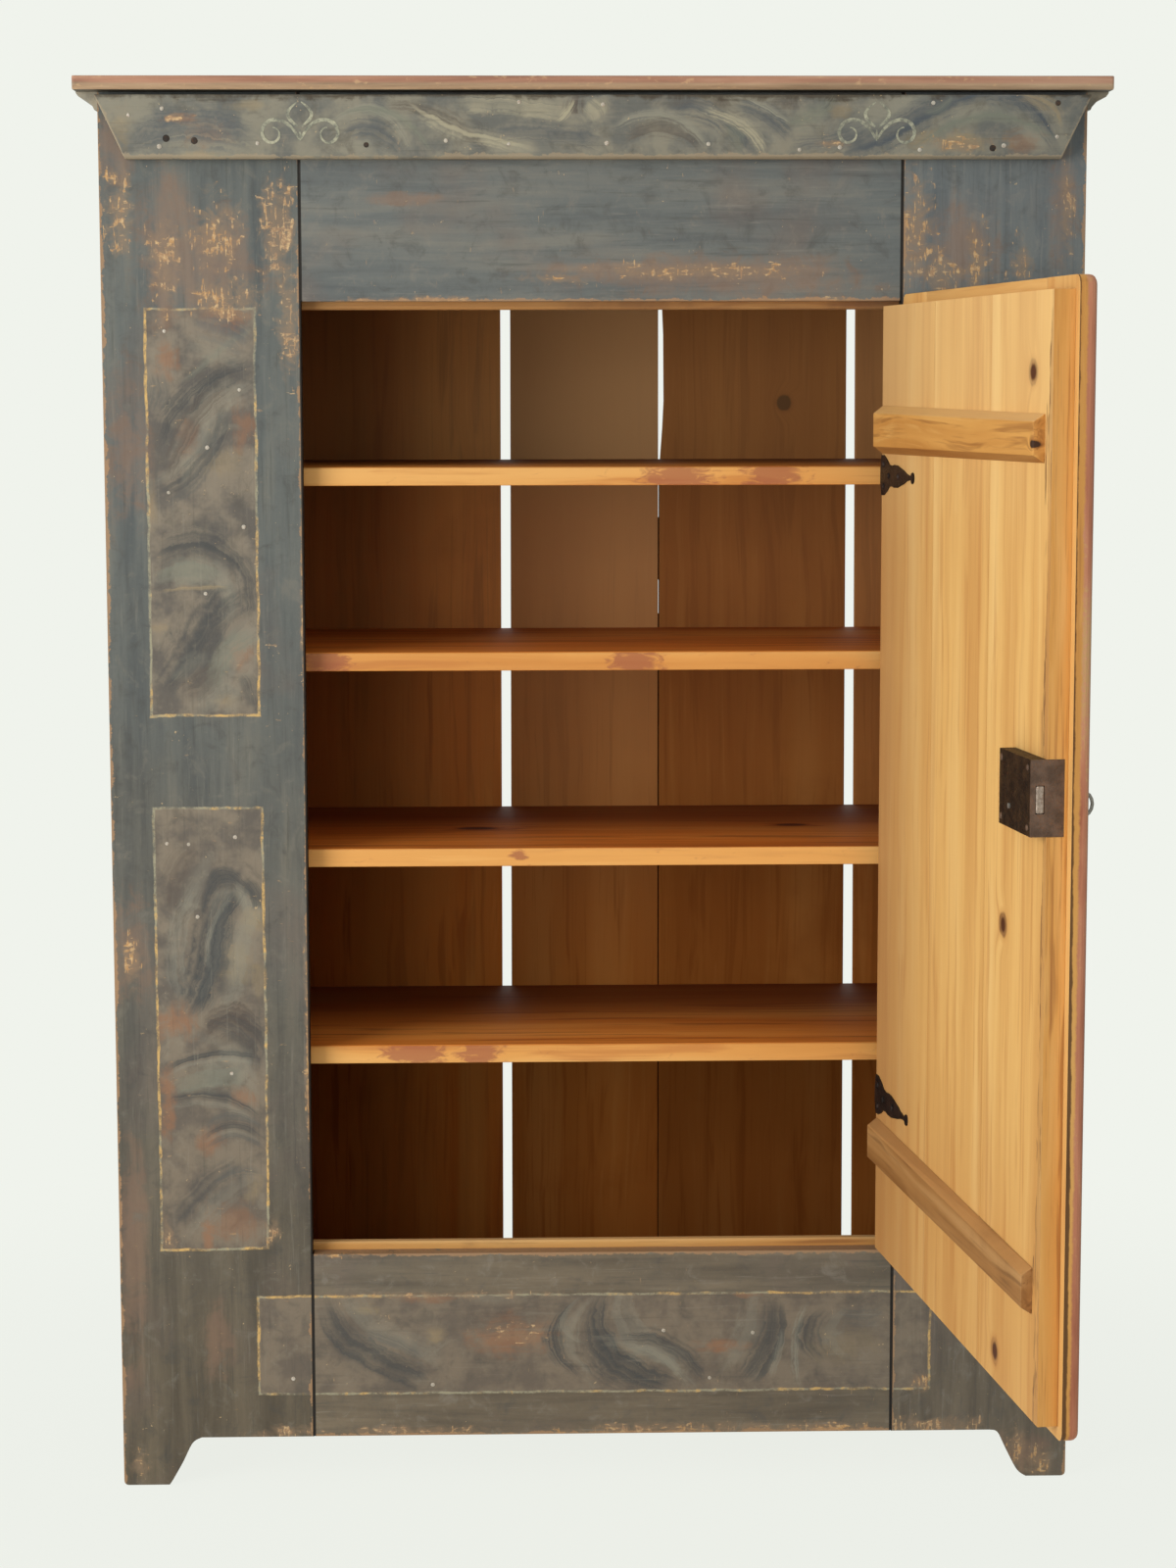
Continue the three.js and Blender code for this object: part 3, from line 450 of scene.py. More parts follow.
def brush_group():
    """One tapering bristly stroke and the paler trail beside it, as two masks.

    Along runs from -1 to 1 over its length, and side counts in half widths.
    """
    group = Group("brush", ("X", "Z", "Wander", "Along X", "Along Z", "Along Start", "Side X", "Side Z",
                            "Side Start", "Bow", "Sway", "Seed", "Trail"), ("Body", "Trail"))
    given = group.inputs

    def turned(axis):
        level = group.math("MULTIPLY_ADD", given["Z"], given[axis + " Z"], given[axis + " Start"])
        return group.math("MULTIPLY_ADD", given["X"], given[axis + " X"], level)

    along, side = turned("Along"), turned("Side")
    square = along * along
    bowed = group.math("SUBTRACT", 1.0, square) * given["Bow"]
    off = side - (bowed + group.math("SINE", along * math.pi) * given["Sway"])
    comb = group.math("MULTIPLY_ADD", off, 3.0, given["Seed"]) + given["Wander"] * 2.5
    bristles = group.node("TexNoise", {"W": comb, "Scale": 1.0, "Detail": 3.0, "Roughness": 0.65},
                          noise_dimensions="1D")[0]
    uneven = square * 0.4 + bristles.swing(1.2) + given["Wander"].swing(1.6)
    ends = group.step(square, 1.3, 0.5)
    body = group.step(abs(off) + uneven, 1.15, 0.15) * ends
    group.put(group.outputs["Body"], body * group.step(bristles, 0.72, 0.36, 0.4, 1.0))
    trail = group.step(abs(off + given["Trail"]) + uneven, 0.9, 0.1) * ends
    group.put(group.outputs["Trail"], trail)
    return group.tree


BRUSH = brush_group()


def brush(tree, x, z, wander, stroke):
    """The masks of one stroke. Its middle line bows to one side and may sway like an S."""
    x0, z0, x1, z1, half, bow, sway = [value / 1000 for value in stroke[:7]]
    half *= BRUSH_WIDTH
    reach = math.hypot(x1 - x0, z1 - z0) / 2
    east, north = (x1 - x0) / 2 / reach, (z1 - z0) / 2 / reach
    middle_x, middle_z = (x0 + x1) / 2, (z0 + z1) / 2
    start, height = middle_x * east + middle_z * north, middle_z * east - middle_x * north
    return tree.node("Group", {
        "X": x, "Z": z, "Wander": wander, "Along X": east / reach, "Along Z": north / reach,
        "Along Start": -start / reach, "Side X": -north / half, "Side Z": east / half,
        "Side Start": -height / half, "Bow": bow / half, "Sway": sway / half, "Seed": 90 * x0 + 40 * z0,
        "Trail": math.copysign(1.25, bow)}, node_tree=BRUSH)


def marbled_paint(tree, paint, base, strokes, blots, seed):
    """Mottled ground, rubbed blotches and the brush strokes over them."""
    drift, shift = tree.noises(tree.scaled(tree.flat, (1, 1, 1), (seed, 0, 0)), 17.0, 4.0, 0.62)
    moved = tree.moved(tree.flat, tree.scaled(shift, (0.016, 0.016, 0.0), (-0.008, -0.008, 0.0)))
    colour = tree.over(base[0], base[1], drift, 0.38, 0.6)
    colour = tree.layers(
        tree.mix(paint.low * 0.4, colour, (119, 103, 84)), ((86, 82, 74), paint.mottle, 0.5, 0.7, 0.5),
        ((142, 134, 116), paint.mottle, 0.46, 0.3, 0.4))
    broken = paint.mottle.swing(2.4) + paint.fine.swing(1.2)
    for x, z, wide, tall, tone, amount in blots:
        radii = (wide / 1000 * BLOT_REACH, tall / 1000 * BLOT_REACH, 1)
        near = tree.spot(moved, (x / 1000, z / 1000, 0), radii)
        colour = veiled(tree, colour, TONES[tone], near, broken, 0.1, 0.95, 0.25, 0.85 * amount)
    x, z, _ = tree.xyz(moved)
    for stroke in strokes:
        tone, amount = stroke[7:]
        body, trail = brush(tree, x, z, paint.mottle, stroke)
        if tone in ("dark", "brown", "blue"):
            colour = tree.mix(trail * (0.5 * amount), colour, TONES["pale"])
        colour = tree.mix(body * min(1, STROKE_POWER * amount), colour, TONES[tone])
    return tree.layers(colour, ((80, 77, 70), paint.fine, 0.53, 0.72, 0.35),
                       ((148, 142, 126), paint.fine, 0.44, 0.28, 0.3))


def mirrored(strokes):
    """The same strokes on the other side of the cupboard."""
    return [(-x0, z0, -x1, z1, half, -bow, -sway, tone, amount)
            for x0, z0, x1, z1, half, bow, sway, tone, amount in strokes]


def loose_strokes(low, high, count, seed):
    """Strokes in the same manner for a panel that the photograph does not show."""
    dice = random.Random(seed)
    made = []
    for index in range(count):
        x0 = dice.uniform(low[0], high[0])
        z0 = low[1] + (high[1] - low[1]) * (index + dice.random()) / count
        turn = math.radians(dice.uniform(200, 260))
        reach = dice.uniform(110, 220)
        tone = ("dark", "grey", "green", "dark", "brown")[index % 5]
        made.append((x0, z0, x0 + reach * math.cos(turn), z0 + reach * math.sin(turn), dice.uniform(9, 24),
                     dice.uniform(-40, 40), dice.uniform(-14, 14), tone, dice.uniform(0.4, 0.7)))
    return made


def slabs(listed):
    """Ellipsoids through the whole thickness, from x, z, half width and half height in millimetres."""
    return [((x / 1000, 0, z / 1000), (wide / 1000, 0.5, tall / 1000)) for x, z, wide, tall in listed]


def bordered_panel(tree, paint, colour, marbled, outside):
    """Marbling inside an outline that outside is the distance to, and a faded cream line along it."""
    colour = tree.over(colour, marbled, outside, 0.001, -0.001)
    width = (paint.specks + paint.patches) * 0.0026 - 0.0012
    line = tree.step(abs(outside) - width, 0.0009, -0.0005)
    faded = tree.step(paint.mottle * 0.8 + paint.specks * 0.5, 0.56, 0.76, 1.0, 0.15)
    gilt = paint.clouds + paint.patches.swing(0.6)
    return tree.mix(line * faded, colour, tree.over((158, 153, 128), (212, 174, 108), gilt, 0.44, 0.58))


def rubbed_through(tree, paint, colour, near):
    """Bare wood in flecks along and across the grain, over places that near is the mask of."""
    colour = veiled(tree, colour, (148, 124, 98), near, paint.patches.swing(2.4), 0.15, 0.9, 0.3, 0.6)
    patchy = paint.patches.swing(0.9) + near * 0.2
    flecks = tree.step(paint.flecks + patchy, 0.705, 0.8)
    crossed = tree.step(paint.cross + patchy, 0.76, 0.85)
    bare = tree.most(flecks, crossed * 0.8) * tree.step(near, 0.0, 0.15)
    return tree.mix(bare * 0.72, colour, paint.wood)


def painted(name, axis, seed, panels=(), ground=None, strokes=(), blots=(), stained=(), worn=(), upright=(),
            level=(), slants=(), joints=(), warm=0.0, tint=None, edge_tone=(176, 138, 100), bare=True):
    """Worn blue-grey paint, with marbled panels inside cream lines or on a marbled ground.

    The grain is along an axis. Stained and worn list discoloured and rubbed slabs. Upright and level are
    the x and z of worn arrises, slants the two ends of sloping ones, and joints the x of dark lines
    between boards. Where bare, the faces that look into the cupboard were never painted.
    """
    tree = Tree(name, 0.58, space="carcass")
    paint = milk_paint(tree, axis, seed, warm)
    colour = tree.mix(1.0, paint.colour, tint, "MULTIPLY") if tint else paint.colour
    if panels or ground:
        marbled = marbled_paint(tree, paint, ground or PANEL_GROUND, strokes, blots, seed)
        colour = marbled if ground else colour
        wobble = tree.noise(tree.flat, 20.0, 4.0, 0.6).swing(0.007)
        for corners in panels:
            outside = tree.most(*[abs(value - (low + high) / 2) - (high - low) / 2
                                  for value, low, high in zip((tree.across, tree.up), *corners)])
            colour = bordered_panel(tree, paint, colour, marbled, outside + wobble)
    if stained:
        broken = paint.mottle.swing(2.2) + paint.streaks.swing(1.8)
        near = tree.spots(tree.place, slabs(stained))
        colour = veiled(tree, colour, (142, 113, 92), near, broken, 0.1, 0.9, 0.3, 0.5)
    if worn:
        colour = rubbed_through(tree, paint, colour, tree.spots(tree.place, slabs(worn)))
    colour = chipped(tree, paint, colour)
    for value, edge in [(tree.across, x) for x in upright] + [(tree.up, z) for z in level]:
        ragged = paint.rub.swing(0.014) + paint.mottle.swing(0.02)
        colour = tree.over(colour, edge_tone, abs(value - edge) - ragged, 0.0022, 0.0004, 0.7)
    for foot_x, foot_z, head_x, head_z in slants:
        length = math.hypot(head_x - foot_x, head_z - foot_z)
        aside = ((tree.across - foot_x) * ((head_z - foot_z) / length)
                 + (tree.up - foot_z) * ((foot_x - head_x) / length))
        ragged = abs(aside) + paint.mottle.swing(0.012)
        colour = tree.over(colour, edge_tone, ragged, 0.0032, 0.001, 0.75)
    for value in joints:
        colour = tree.mix(tree.line(tree.across, value, 0.0017, 0.0008), colour, (30, 25, 20))
    if bare:
        colour = tree.over(colour, side_inner(tree, seed), tree.rearward, 0.3, 0.7)
    return tree.finish(colour, paint.height, 0.0004, paint.shine)


def painted_side():
    """Outer faces of the side panels, with plain bare wood inside."""
    tree = Tree("painted_side", 0.58, space="carcass")
    paint = milk_paint(tree, ALONG_Z, 5.0)
    wear = paint.rub + paint.clouds * 0.35 + tree.step(tree.up, 0.14, 0.0, 0.0, 0.2)
    outward = tree.sideways * tree.math("SIGN", tree.across)
    colour = tree.layers(
        paint.colour, (paint.wood, wear, 0.86, 0.97, 0.8), (side_inner(tree, 3.0), outward, -0.3, -0.7),
        ((134, 112, 84), tree.rearward, 0.4, 0.8, 0.8))
    return tree.finish(colour, paint.height, 0.0004, paint.shine)


def top_board_paint():
    """Red-brown on the upper half of the edge, bare grey-tan below, and a dusty top."""
    tree = Tree("top_board_paint", 0.62, space="carcass")
    streaks = tree.drawn(tree.place, (3, 40, 60), (0, 0, 0), 4.0, 0.65, 0.3)
    specks = tree.drawn(tree.place, (60, 120, 120), (0, 0, 0), 3.0, 0.7)
    red = tree.ramp(streaks, (0.3, (148, 104, 84)), (0.5, (178, 132, 106)), (0.72, (198, 158, 130)))
    tan = tree.ramp(streaks, (0.3, (138, 116, 92)), (0.5, (176, 146, 116)), (0.7, (200, 172, 138)))
    dust = grain_colour(tree, ALONG_X, DUSTY_PINE, (), 5.0, 10.0)[0]
    colour = tree.layers(
        tan, (red, tree.up + streaks.swing(0.006), TOP - 0.011, TOP - 0.007),
        ((214, 176, 132), specks, 0.58, 0.72, 0.5), (dust, tree.rise, 0.6, 0.9),
        ((104, 96, 82), tree.rise, -0.8, -0.95))
    return tree.finish(colour, streaks + specks * 0.5, 0.0004)


def door_front(name, axis, seed):
    """Front layer of the door: paint outside, red-brown moulded rim, bare wood towards the boards dulled a
    little as painted shade.
    """
    tree = Tree(name, 0.58, space="door")
    paint = milk_paint(tree, axis, seed)
    red = tree.ramp(paint.streaks, (0.3, (168, 100, 72)), (0.5, (200, 132, 98)), (0.7, (218, 158, 120)))
    pine = grain_colour(tree, axis, SAWN_PINE, (), seed, 16.0)[0]
    bare = grain_colour(tree, axis, PINE, (), seed, 12.0)[0]
    ragged = tree.depth + paint.mottle.swing(0.005)
    # a dark band along the back of the rim is a painted shadow of the gap to the boards, wider towards the
    # foot
    gap_shadow = tree.step(tree.up, 1.3, 0.45, 0.0, 0.0035)
    rim = tree.layers(
        red, ((208, 164, 106), paint.rub + paint.clouds * 0.2, 0.74, 0.86, 0.8),
        (pine, ragged + paint.specks.swing(0.003), -0.0115, -0.008),
        ((58, 30, 14), ragged + gap_shadow, -0.0035, -0.0015, 0.85))
    # the faces towards the boards are bare pine dulled a little as painted shade
    colour = tree.layers(chipped(tree, paint, paint.colour), (rim, abs(tree.rearward), 0.92, 0.75),
                         (tree.mix(0.35, bare, (206, 150, 84)), tree.rearward, 0.8, 0.95))
    return tree.finish(colour, paint.height, 0.0004)


def door_board_wood(name, seed, knots=()):
    """Golden pine inside, orange saw-cut edges, and marbled paint on the panels seen from the front."""
    tree = Tree(name, 0.6, space="door")
    colour, height, fine = grain_colour(tree, ALONG_Z, PINE, knots, seed, 11.0)
    # broad bands run up the boards, and the foot of the door is browner
    shade = tree.drawn(tree.place, (9, 1, 0.8), (seed, 0, 2), 3.0, 0.6)
    # the free arris is bruised and grubby
    bruise = tree.drawn(tree.place, (50, 1, 7), (seed, 0, 0), 4.0, 0.65)
    inset = tree.across + DOOR_WIDTH - bruise.swing(0.09)
    grubby = tree.line(inset, 0.012, 0.002, 0.003) * tree.step(fine, 0.42, 0.6)
    # painted shade dulls the hinge side and a painted highlight lightens the top of the door
    colour = tree.layers(
        colour, ((198, 138, 72), shade, 0.48, 0.64, 0.55), ((178, 128, 76), tree.across, -0.34, -0.01, 0.72),
        ((246, 208, 146), tree.up, 1.2, 1.5, 0.3), ((192, 134, 72), tree.up, 0.75, 0.36, 0.35),
        ((168, 118, 66), inset, 0.022, 0.004, 0.4))
    colour = tree.mix(grubby, colour, (132, 92, 54))
    if knots:
        heart = tree.spots(tree.place, knots) + fine.swing(0.5)
        colour = tree.layers(colour, ((214, 160, 96), heart, 0.0, 0.4, 0.5), (PINE.knot, heart, 0.25, 0.6))
    edge, _, edge_fine = grain_colour(tree, ALONG_Z, SAWN_PINE, (), seed + 2, 30.0)
    edge = tree.over(edge, (170, 108, 54), edge_fine, 0.5, 0.68, 0.4)
    paint = milk_paint(tree, ALONG_Z, seed)
    marbled = chipped(tree, paint, marbled_paint(tree, paint, PANEL_GROUND, DOOR_STROKES, (), 2.0))
    colour = tree.layers(colour, (edge, abs(tree.rearward), 0.8, 0.5), (marbled, -tree.rearward, 0.6, 0.85))
    return tree.finish(colour, height, 0.0004)


def batten_wood(name, seed, wood, light, knots=()):
    """Wavy grain, with a painted highlight on the top bevel and painted shade on the lower one."""
    tree = Tree(name, 0.6, space="door")
    colour, height, _ = grain_colour(tree, ALONG_X, wood, knots, seed, 26.0)
    # painted highlight on the upward bevel, painted shade on the downward one
    colour = tree.layers(colour, (light, tree.rise, 0.3, 0.8, 0.7),
                         ((120, 72, 34), tree.rise, -0.3, -0.8, 0.5))
    return tree.finish(dirt(tree, colour, 0.4, wood.streak), height, 0.0007)


def iron(name, dark, light, rust, rough=0.5, metallic=0.55):
    """Pitted metal, mottled from dark to light, with rust in the pits."""
    tree = Tree(name, rough, metallic, 0.4)
    pits = tree.noise(tree.place, 420.0, 5.0, 0.7)
    clouds = tree.noise(tree.place, 60.0, 4.0, 0.6)
    colour = tree.layers(dark, (light, clouds, 0.35, 0.7), (rust, pits + clouds * 0.4, 0.72, 0.86, 0.6))
    return tree.finish(colour, pits, 0.0006, tree.step(pits, 0.3, 0.7, rough - 0.12, rough + 0.22))


# Marbling of each piece, in millimetres on the front
# A stroke is x0, z0, x1, z1, half width, bow, sway, tone, strength
# A blot is x, z, half width, half height, tone, strength

UPPER_STROKES = [
    (-562, 1414, -555, 1461, 10, -6, 0, "grey", 0.5), (-435, 1517, -524, 1451, 4, -1, 0, "green", 0.4),
    (-440, 1472, -557, 1367, 12, -19, 0, "dark", 0.6), (-469, 1462, -509, 1411, 5, -8, 0, "dark", 0.5),
    (-474, 1415, -555, 1308, 8, 19, 0, "dark", 0.5), (-482, 1382, -554, 1294, 6, 19, 0, "grey", 0.4),
    (-560, 1233, -449, 1210, 17, 25, 0, "dark", 0.65), (-441, 1179, -552, 1054, 23, -12, 7, "dark", 0.6),
    (-561, 1202, -479, 1203, 11, 9, 0, "green", 0.5), (-554, 1185, -470, 1186, 2, 2, 0, "tan", 0.5),
    (-436, 1127, -493, 1058, 11, -14, 0, "green", 0.5), (-463, 1232, -441, 1150, 13, 10, 0, "dark", 0.5),
    (-505, 1528, -440, 1500, 14, 5, 0, "blue", 0.4), (-484, 1085, -530, 1050, 12, 0, 0, "brown", 0.4),
    (-470, 1445, -545, 1330, 10, -8, 0, "brown", 0.45), (-452, 1075, -440, 1035, 10, 4, 0, "dark", 0.45)]
UPPER_BLOTS = [
    (-545, 1479, 15, 22, "rust", 0.7), (-449, 1393, 15, 28, "rust", 0.6), (-519, 1374, 15, 22, "rust", 0.4),
    (-454, 1101, 15, 18, "rust", 0.6), (-460, 1531, 22, 17, "rust", 0.8), (-476, 1346, 22, 18, "tan", 0.35),
    (-568, 1293, 9, 33, "tan", 0.5), (-482, 1044, 17, 11, "tan", 0.45), (-556, 1136, 13, 7, "tan", 0.45)]
LOWER_STROKES = [
    (-518, 854, -553, 773, 12, -8, 0, "brown", 0.4), (-544, 714, -535, 658, 13, -5, 0, "grey", 0.5),
    (-435, 785, -511, 761, 10, -41, 0, "dark", 0.7), (-464, 797, -526, 635, 17, -3, 5, "dark", 0.8),
    (-471, 789, -504, 693, 3, -11, 0, "pale", 0.45), (-511, 598, -436, 594, 26, 28, 0, "brown", 0.7),
    (-558, 562, -440, 575, 4, 11, 0, "dark", 0.7), (-548, 536, -459, 549, 12, 3, 0, "green", 0.45),
    (-557, 520, -441, 499, 5, 16, 0, "dark", 0.6), (-511, 486, -437, 482, 4, 15, 0, "grey", 0.6),
    (-512, 471, -437, 468, 4, 16, 0, "dark", 0.5), (-510, 456, -438, 456, 3, 15, 0, "grey", 0.5),
    (-464, 435, -553, 354, 12, -6, 0, "dark", 0.45), (-498, 406, -439, 422, 5, 9, 0, "grey", 0.5),
    (-520, 800, -544, 660, 9, -12, 0, "pale", 0.35), (-474, 812, -520, 650, 9, 6, 4, "grey", 0.45),
    (-452, 812, -437, 770, 7, 6, 0, "dark", 0.6), (-500, 628, -436, 560, 16, 22, 0, "dark", 0.4)]
LOWER_BLOTS = [
    (-546, 622, 26, 25, "rust", 0.8), (-559, 525, 9, 50, "rust", 0.8), (-501, 465, 17, 17, "rust", 0.7),
    (-474, 352, 33, 25, "rust", 0.5), (-442, 759, 15, 21, "tan", 0.6), (-466, 701, 21, 25, "tan", 0.45),
    (-458, 521, 17, 12, "rust", 0.6), (-448, 400, 12, 21, "tan", 0.5), (-507, 317, 8, 62, "rust", 0.8),
    (-438, 680, 8, 25, "tan", 0.4)]
RAIL_STROKES = [
    (-176, 221, -56, 232, 16, -2, 0, "brown", 0.4), (320, 227, 381, 227, 12, -11, 0, "grey", 0.4),
    (-357, 243, -226, 131, 16, -17, 7, "dark", 0.6), (-309, 202, -231, 166, 5, 9, 0, "grey", 0.5),
    (-29, 245, -25, 146, 9, -29, 0, "dark", 0.65), (-24, 249, -13, 187, 5, -26, 0, "pale", 0.35),
    (1, 249, 98, 127, 19, -36, 4, "dark", 0.7), (14, 187, 120, 129, 5, 20, 0, "pale", 0.4),
    (30, 196, 142, 140, 9, 19, 0, "dark", 0.55), (236, 241, 197, 136, 15, 13, 0, "dark", 0.6),
    (278, 236, 270, 129, 4, -10, 0, "pale", 0.5), (299, 230, 301, 163, 13, -20, 0, "dark", 0.5),
    (245, 205, 232, 138, 4, 2, 0, "pale", 0.35)]
RAIL_BLOTS = [
    (-111, 202, 53, 26, "rust", 0.75), (162, 182, 32, 8, "rust", 0.8), (-303, 235, 14, 9, "tan", 0.6),
    (-212, 196, 14, 11, "tan", 0.6), (331, 182, 47, 26, "tan", 0.3), (-224, 255, 32, 11, "rust", 0.6),
    (206, 255, 21, 8, "rust", 0.7)]
FRIEZE_STROKES = [
    (-578, 1757, -426, 1754, 19, 15, 0, "blue", 0.55), (-316, 1757, -245, 1740, 9, 14, 0, "blue", 0.55),
    (-332, 1771, -232, 1740, 5, 32, 0, "pale", 0.65), (-317, 1781, -208, 1737, 4, 24, 0, "green", 0.7),
    (-258, 1792, -136, 1740, 6, 13, 0, "brown", 0.5), (-230, 1791, -79, 1738, 7, -7, 3, "cream", 0.65),
    (-128, 1760, 11, 1746, 11, 7, 0, "blue", 0.5), (-172, 1794, -34, 1783, 9, 5, 0, "cream", 0.45),
    (-23, 1802, -23, 1780, 7, -2, 0, "brown", 0.6), (-27, 1797, -48, 1774, 3, 4, 0, "cream", 0.7),
    (-9, 1794, 7, 1774, 10, 1, 0, "cream", 0.45), (39, 1751, 133, 1742, 8, 21, 0, "brown", 0.45),
    (23, 1766, 140, 1742, 5, 28, 0, "pale", 0.7), (97, 1792, 197, 1736, 10, 17, 0, "blue", 0.6),
    (140, 1786, 215, 1735, 6, 11, 0, "cream", 0.7), (166, 1769, 183, 1733, 7, 3, 0, "green", 0.5),
    (179, 1795, 245, 1754, 8, 7, 0, "blue", 0.6), (195, 1801, 245, 1772, 3, 0, 0, "pale", 0.8),
    (240, 1772, 300, 1803, 8, -9, 0, "green", 0.7), (253, 1744, 344, 1763, 10, -4, 0, "blue", 0.5),
    (323, 1740, 457, 1797, 12, -3, 4, "blue", 0.8), (443, 1793, 584, 1750, 11, 34, 0, "blue", 0.8),
    (403, 1739, 577, 1756, 5, 31, 0, "green", 0.8), (414, 1781, 447, 1801, 4, -4, 0, "green", 0.5),
    (534, 1803, 588, 1767, 6, 11, 0, "tan", 0.5)]
FRIEZE_BLOTS = [
    (-518, 1776, 21, 6, "rust", 1.0), (-482, 1759, 29, 19, "rust", 0.45), (-495, 1732, 37, 5, "tan", 0.8),
    (-433, 1792, 25, 6, "tan", 0.5), (-592, 1773, 17, 25, "tan", 0.5), (241, 1795, 25, 7, "brown", 0.8),
    (463, 1747, 50, 13, "tan", 0.75), (546, 1748, 29, 15, "rust", 0.5), (308, 1789, 12, 9, "tan", 0.5),
    # the last blot, a long band along the top, is a painted shadow under the top board
    (121, 1796, 50, 5, "brown", 0.5), (4, 1782, 12, 12, "cream", 0.6), (0, 1806, 1500, 6, "shadow_umber", 1.0)]
DOOR_STROKES = loose_strokes((-640, 980), (-180, 1400), 9, 5) + loose_strokes((-640, 500), (-180, 850), 8, 8)


# Materials on the modelled pieces

def dress(material, *names):
    """Gives modelled pieces their material."""
    for name in names:
        nodes[name].material_slots[0].material = material


UPPER_LEFT, LOWER_LEFT = ((-0.570, 1.023), (-0.432, 1.541)), ((-0.570, 0.319), (-0.430, 0.903))
UPPER_RIGHT, LOWER_RIGHT = ((0.430, 1.023), (0.568, 1.541)), ((0.430, 0.319), (0.568, 0.903))
PANEL_LOW = ((-0.445, 0.122), (0.442, 0.254))
FRIEZE_FOOT = min(corner.co.x for corner in nodes["frieze_board"].data.vertices
                  if abs((nodes["frieze_board"].matrix_world @ corner.co).z - FRIEZE_LOW.z) < 0.001)
FRIEZE_ENDS = [(side * FRIEZE_FOOT, FRIEZE_LOW.z, side * FRIEZE_LOW.x, FRIEZE_HIGH.z) for side in (1, -1)]

dress(painted(
    "paint_stile_left", ALONG_Z, 1.3, panels=[UPPER_LEFT, LOWER_LEFT, PANEL_LOW],
    strokes=UPPER_STROKES + LOWER_STROKES, blots=UPPER_BLOTS + LOWER_BLOTS,
    stained=[(-545, 1610, 50, 150), (-595, 1360, 40, 160), (-600, 720, 40, 120), (-610, 320, 30, 250),
             (-500, 190, 30, 80), (-490, 1600, 120, 100), (-610, 1750, 50, 70)],
    worn=[(-601, 1665, 25, 80), (-480, 1640, 50, 70), (-400, 1635, 35, 100), (-465, 1554, 70, 35),
          (-388, 1520, 22, 100), (-545, 1600, 30, 90), (-560, 340, 18, 40), (-425, 345, 20, 30),
          (-405, 70, 70, 16), (-375, 620, 8, 200), (-375, 1150, 6, 100), (-603, 700, 16, 50),
          (-603, 30, 20, 30)],
    upright=[OPENING_LEFT, LEFT], joints=[OPENING_LEFT], tint=(0.85, 0.86, 0.85, 1)), "front_stile_left")
dress(painted(
    "paint_stile_right", ALONG_Z, 8.1, panels=[UPPER_RIGHT, LOWER_RIGHT, PANEL_LOW],
    strokes=mirrored(UPPER_STROKES + LOWER_STROKES),
    stained=[(460, 1620, 80, 80), (595, 1680, 30, 120), (560, 30, 60, 50)],
    worn=[(405, 1635, 40, 110), (440, 1575, 35, 70), (487, 1600, 22, 90), (545, 1600, 20, 50),
          (600, 1660, 16, 110), (440, 1585, 120, 14), (585, 20, 40, 30), (560, 35, 20, 40),
          (450, 70, 100, 20), (430, 130, 20, 20)],
    upright=[OPENING_RIGHT, RIGHT], joints=[OPENING_RIGHT], tint=(1.06, 1.08, 1.12, 1)), "front_stile_right")
dress(painted(
    "paint_rail_top", ALONG_X, 4.4, stained=[(-240, 1679, 70, 12), (150, 1580, 300, 40)],
    worn=[(120, 1588, 220, 16), (-50, 1578, 60, 10), (280, 1548, 120, 12), (-230, 1550, 140, 10)],
    level=[OPENING_HEAD], joints=[OPENING_LEFT, OPENING_RIGHT], warm=-0.1), "top_rail")
dress(painted(
    "paint_rail_bottom", ALONG_X, 6.2, panels=[PANEL_LOW], strokes=RAIL_STROKES, blots=RAIL_BLOTS,
    worn=[(-330, 315, 80, 12), (-100, 200, 40, 20), (100, 70, 200, 12), (-250, 70, 160, 12),
          (300, 70, 100, 12), (-200, 255, 200, 9)],
    level=[OPENING_FOOT, RAIL_FOOT], joints=[OPENING_LEFT, OPENING_RIGHT],
    tint=(1.12, 1.12, 1.12, 1)), "bottom_rail")
dress(painted(
    "paint_frieze", ALONG_X, 9.7, ground=FRIEZE_GROUND, strokes=FRIEZE_STROKES, blots=FRIEZE_BLOTS,
    worn=[(-518, 1776, 25, 8), (300, 1745, 30, 6), (460, 1745, 60, 14)], level=[FRIEZE_LOW.z + 0.002],
    slants=FRIEZE_ENDS, edge_tone=(162, 146, 120), bare=False), "frieze_board")
# the tint makes the moulding tan, its own colour, and brightens it as painted light against the shade under
# the top board
dress(painted("paint_moulding", ALONG_Y, 2.2, tint=(2.2, 1.85, 1.5, 1), bare=False),
      "cove_moulding_left", "cove_moulding_right")
dress(painted_side(), "side_panel_left", "side_panel_right")
dress(top_board_paint(), "top_board")

BACK_KNOT = ((0.281, 0.45, 1.419), (0.012, 0.3, 0.012))
dress(back_board_wood("back_wood_1", 1.0, SHADE_PINE, top_light=0.3, foot_shade=0.15, bands=0.6, corner=True),
      "back_board_1")
dress(back_board_wood("back_wood_2", 3.7, top_light=0.96, foot_shade=0.1, bands=0.2), "back_board_2")
dress(back_board_wood("back_wood_3", 6.1, knots=[BACK_KNOT], top_light=0.26, foot_shade=0.39, smoke=0.19),
      "back_board_3")
dress(back_board_wood("back_wood_4", 8.8, foot_shade=0.3), "back_board_4")

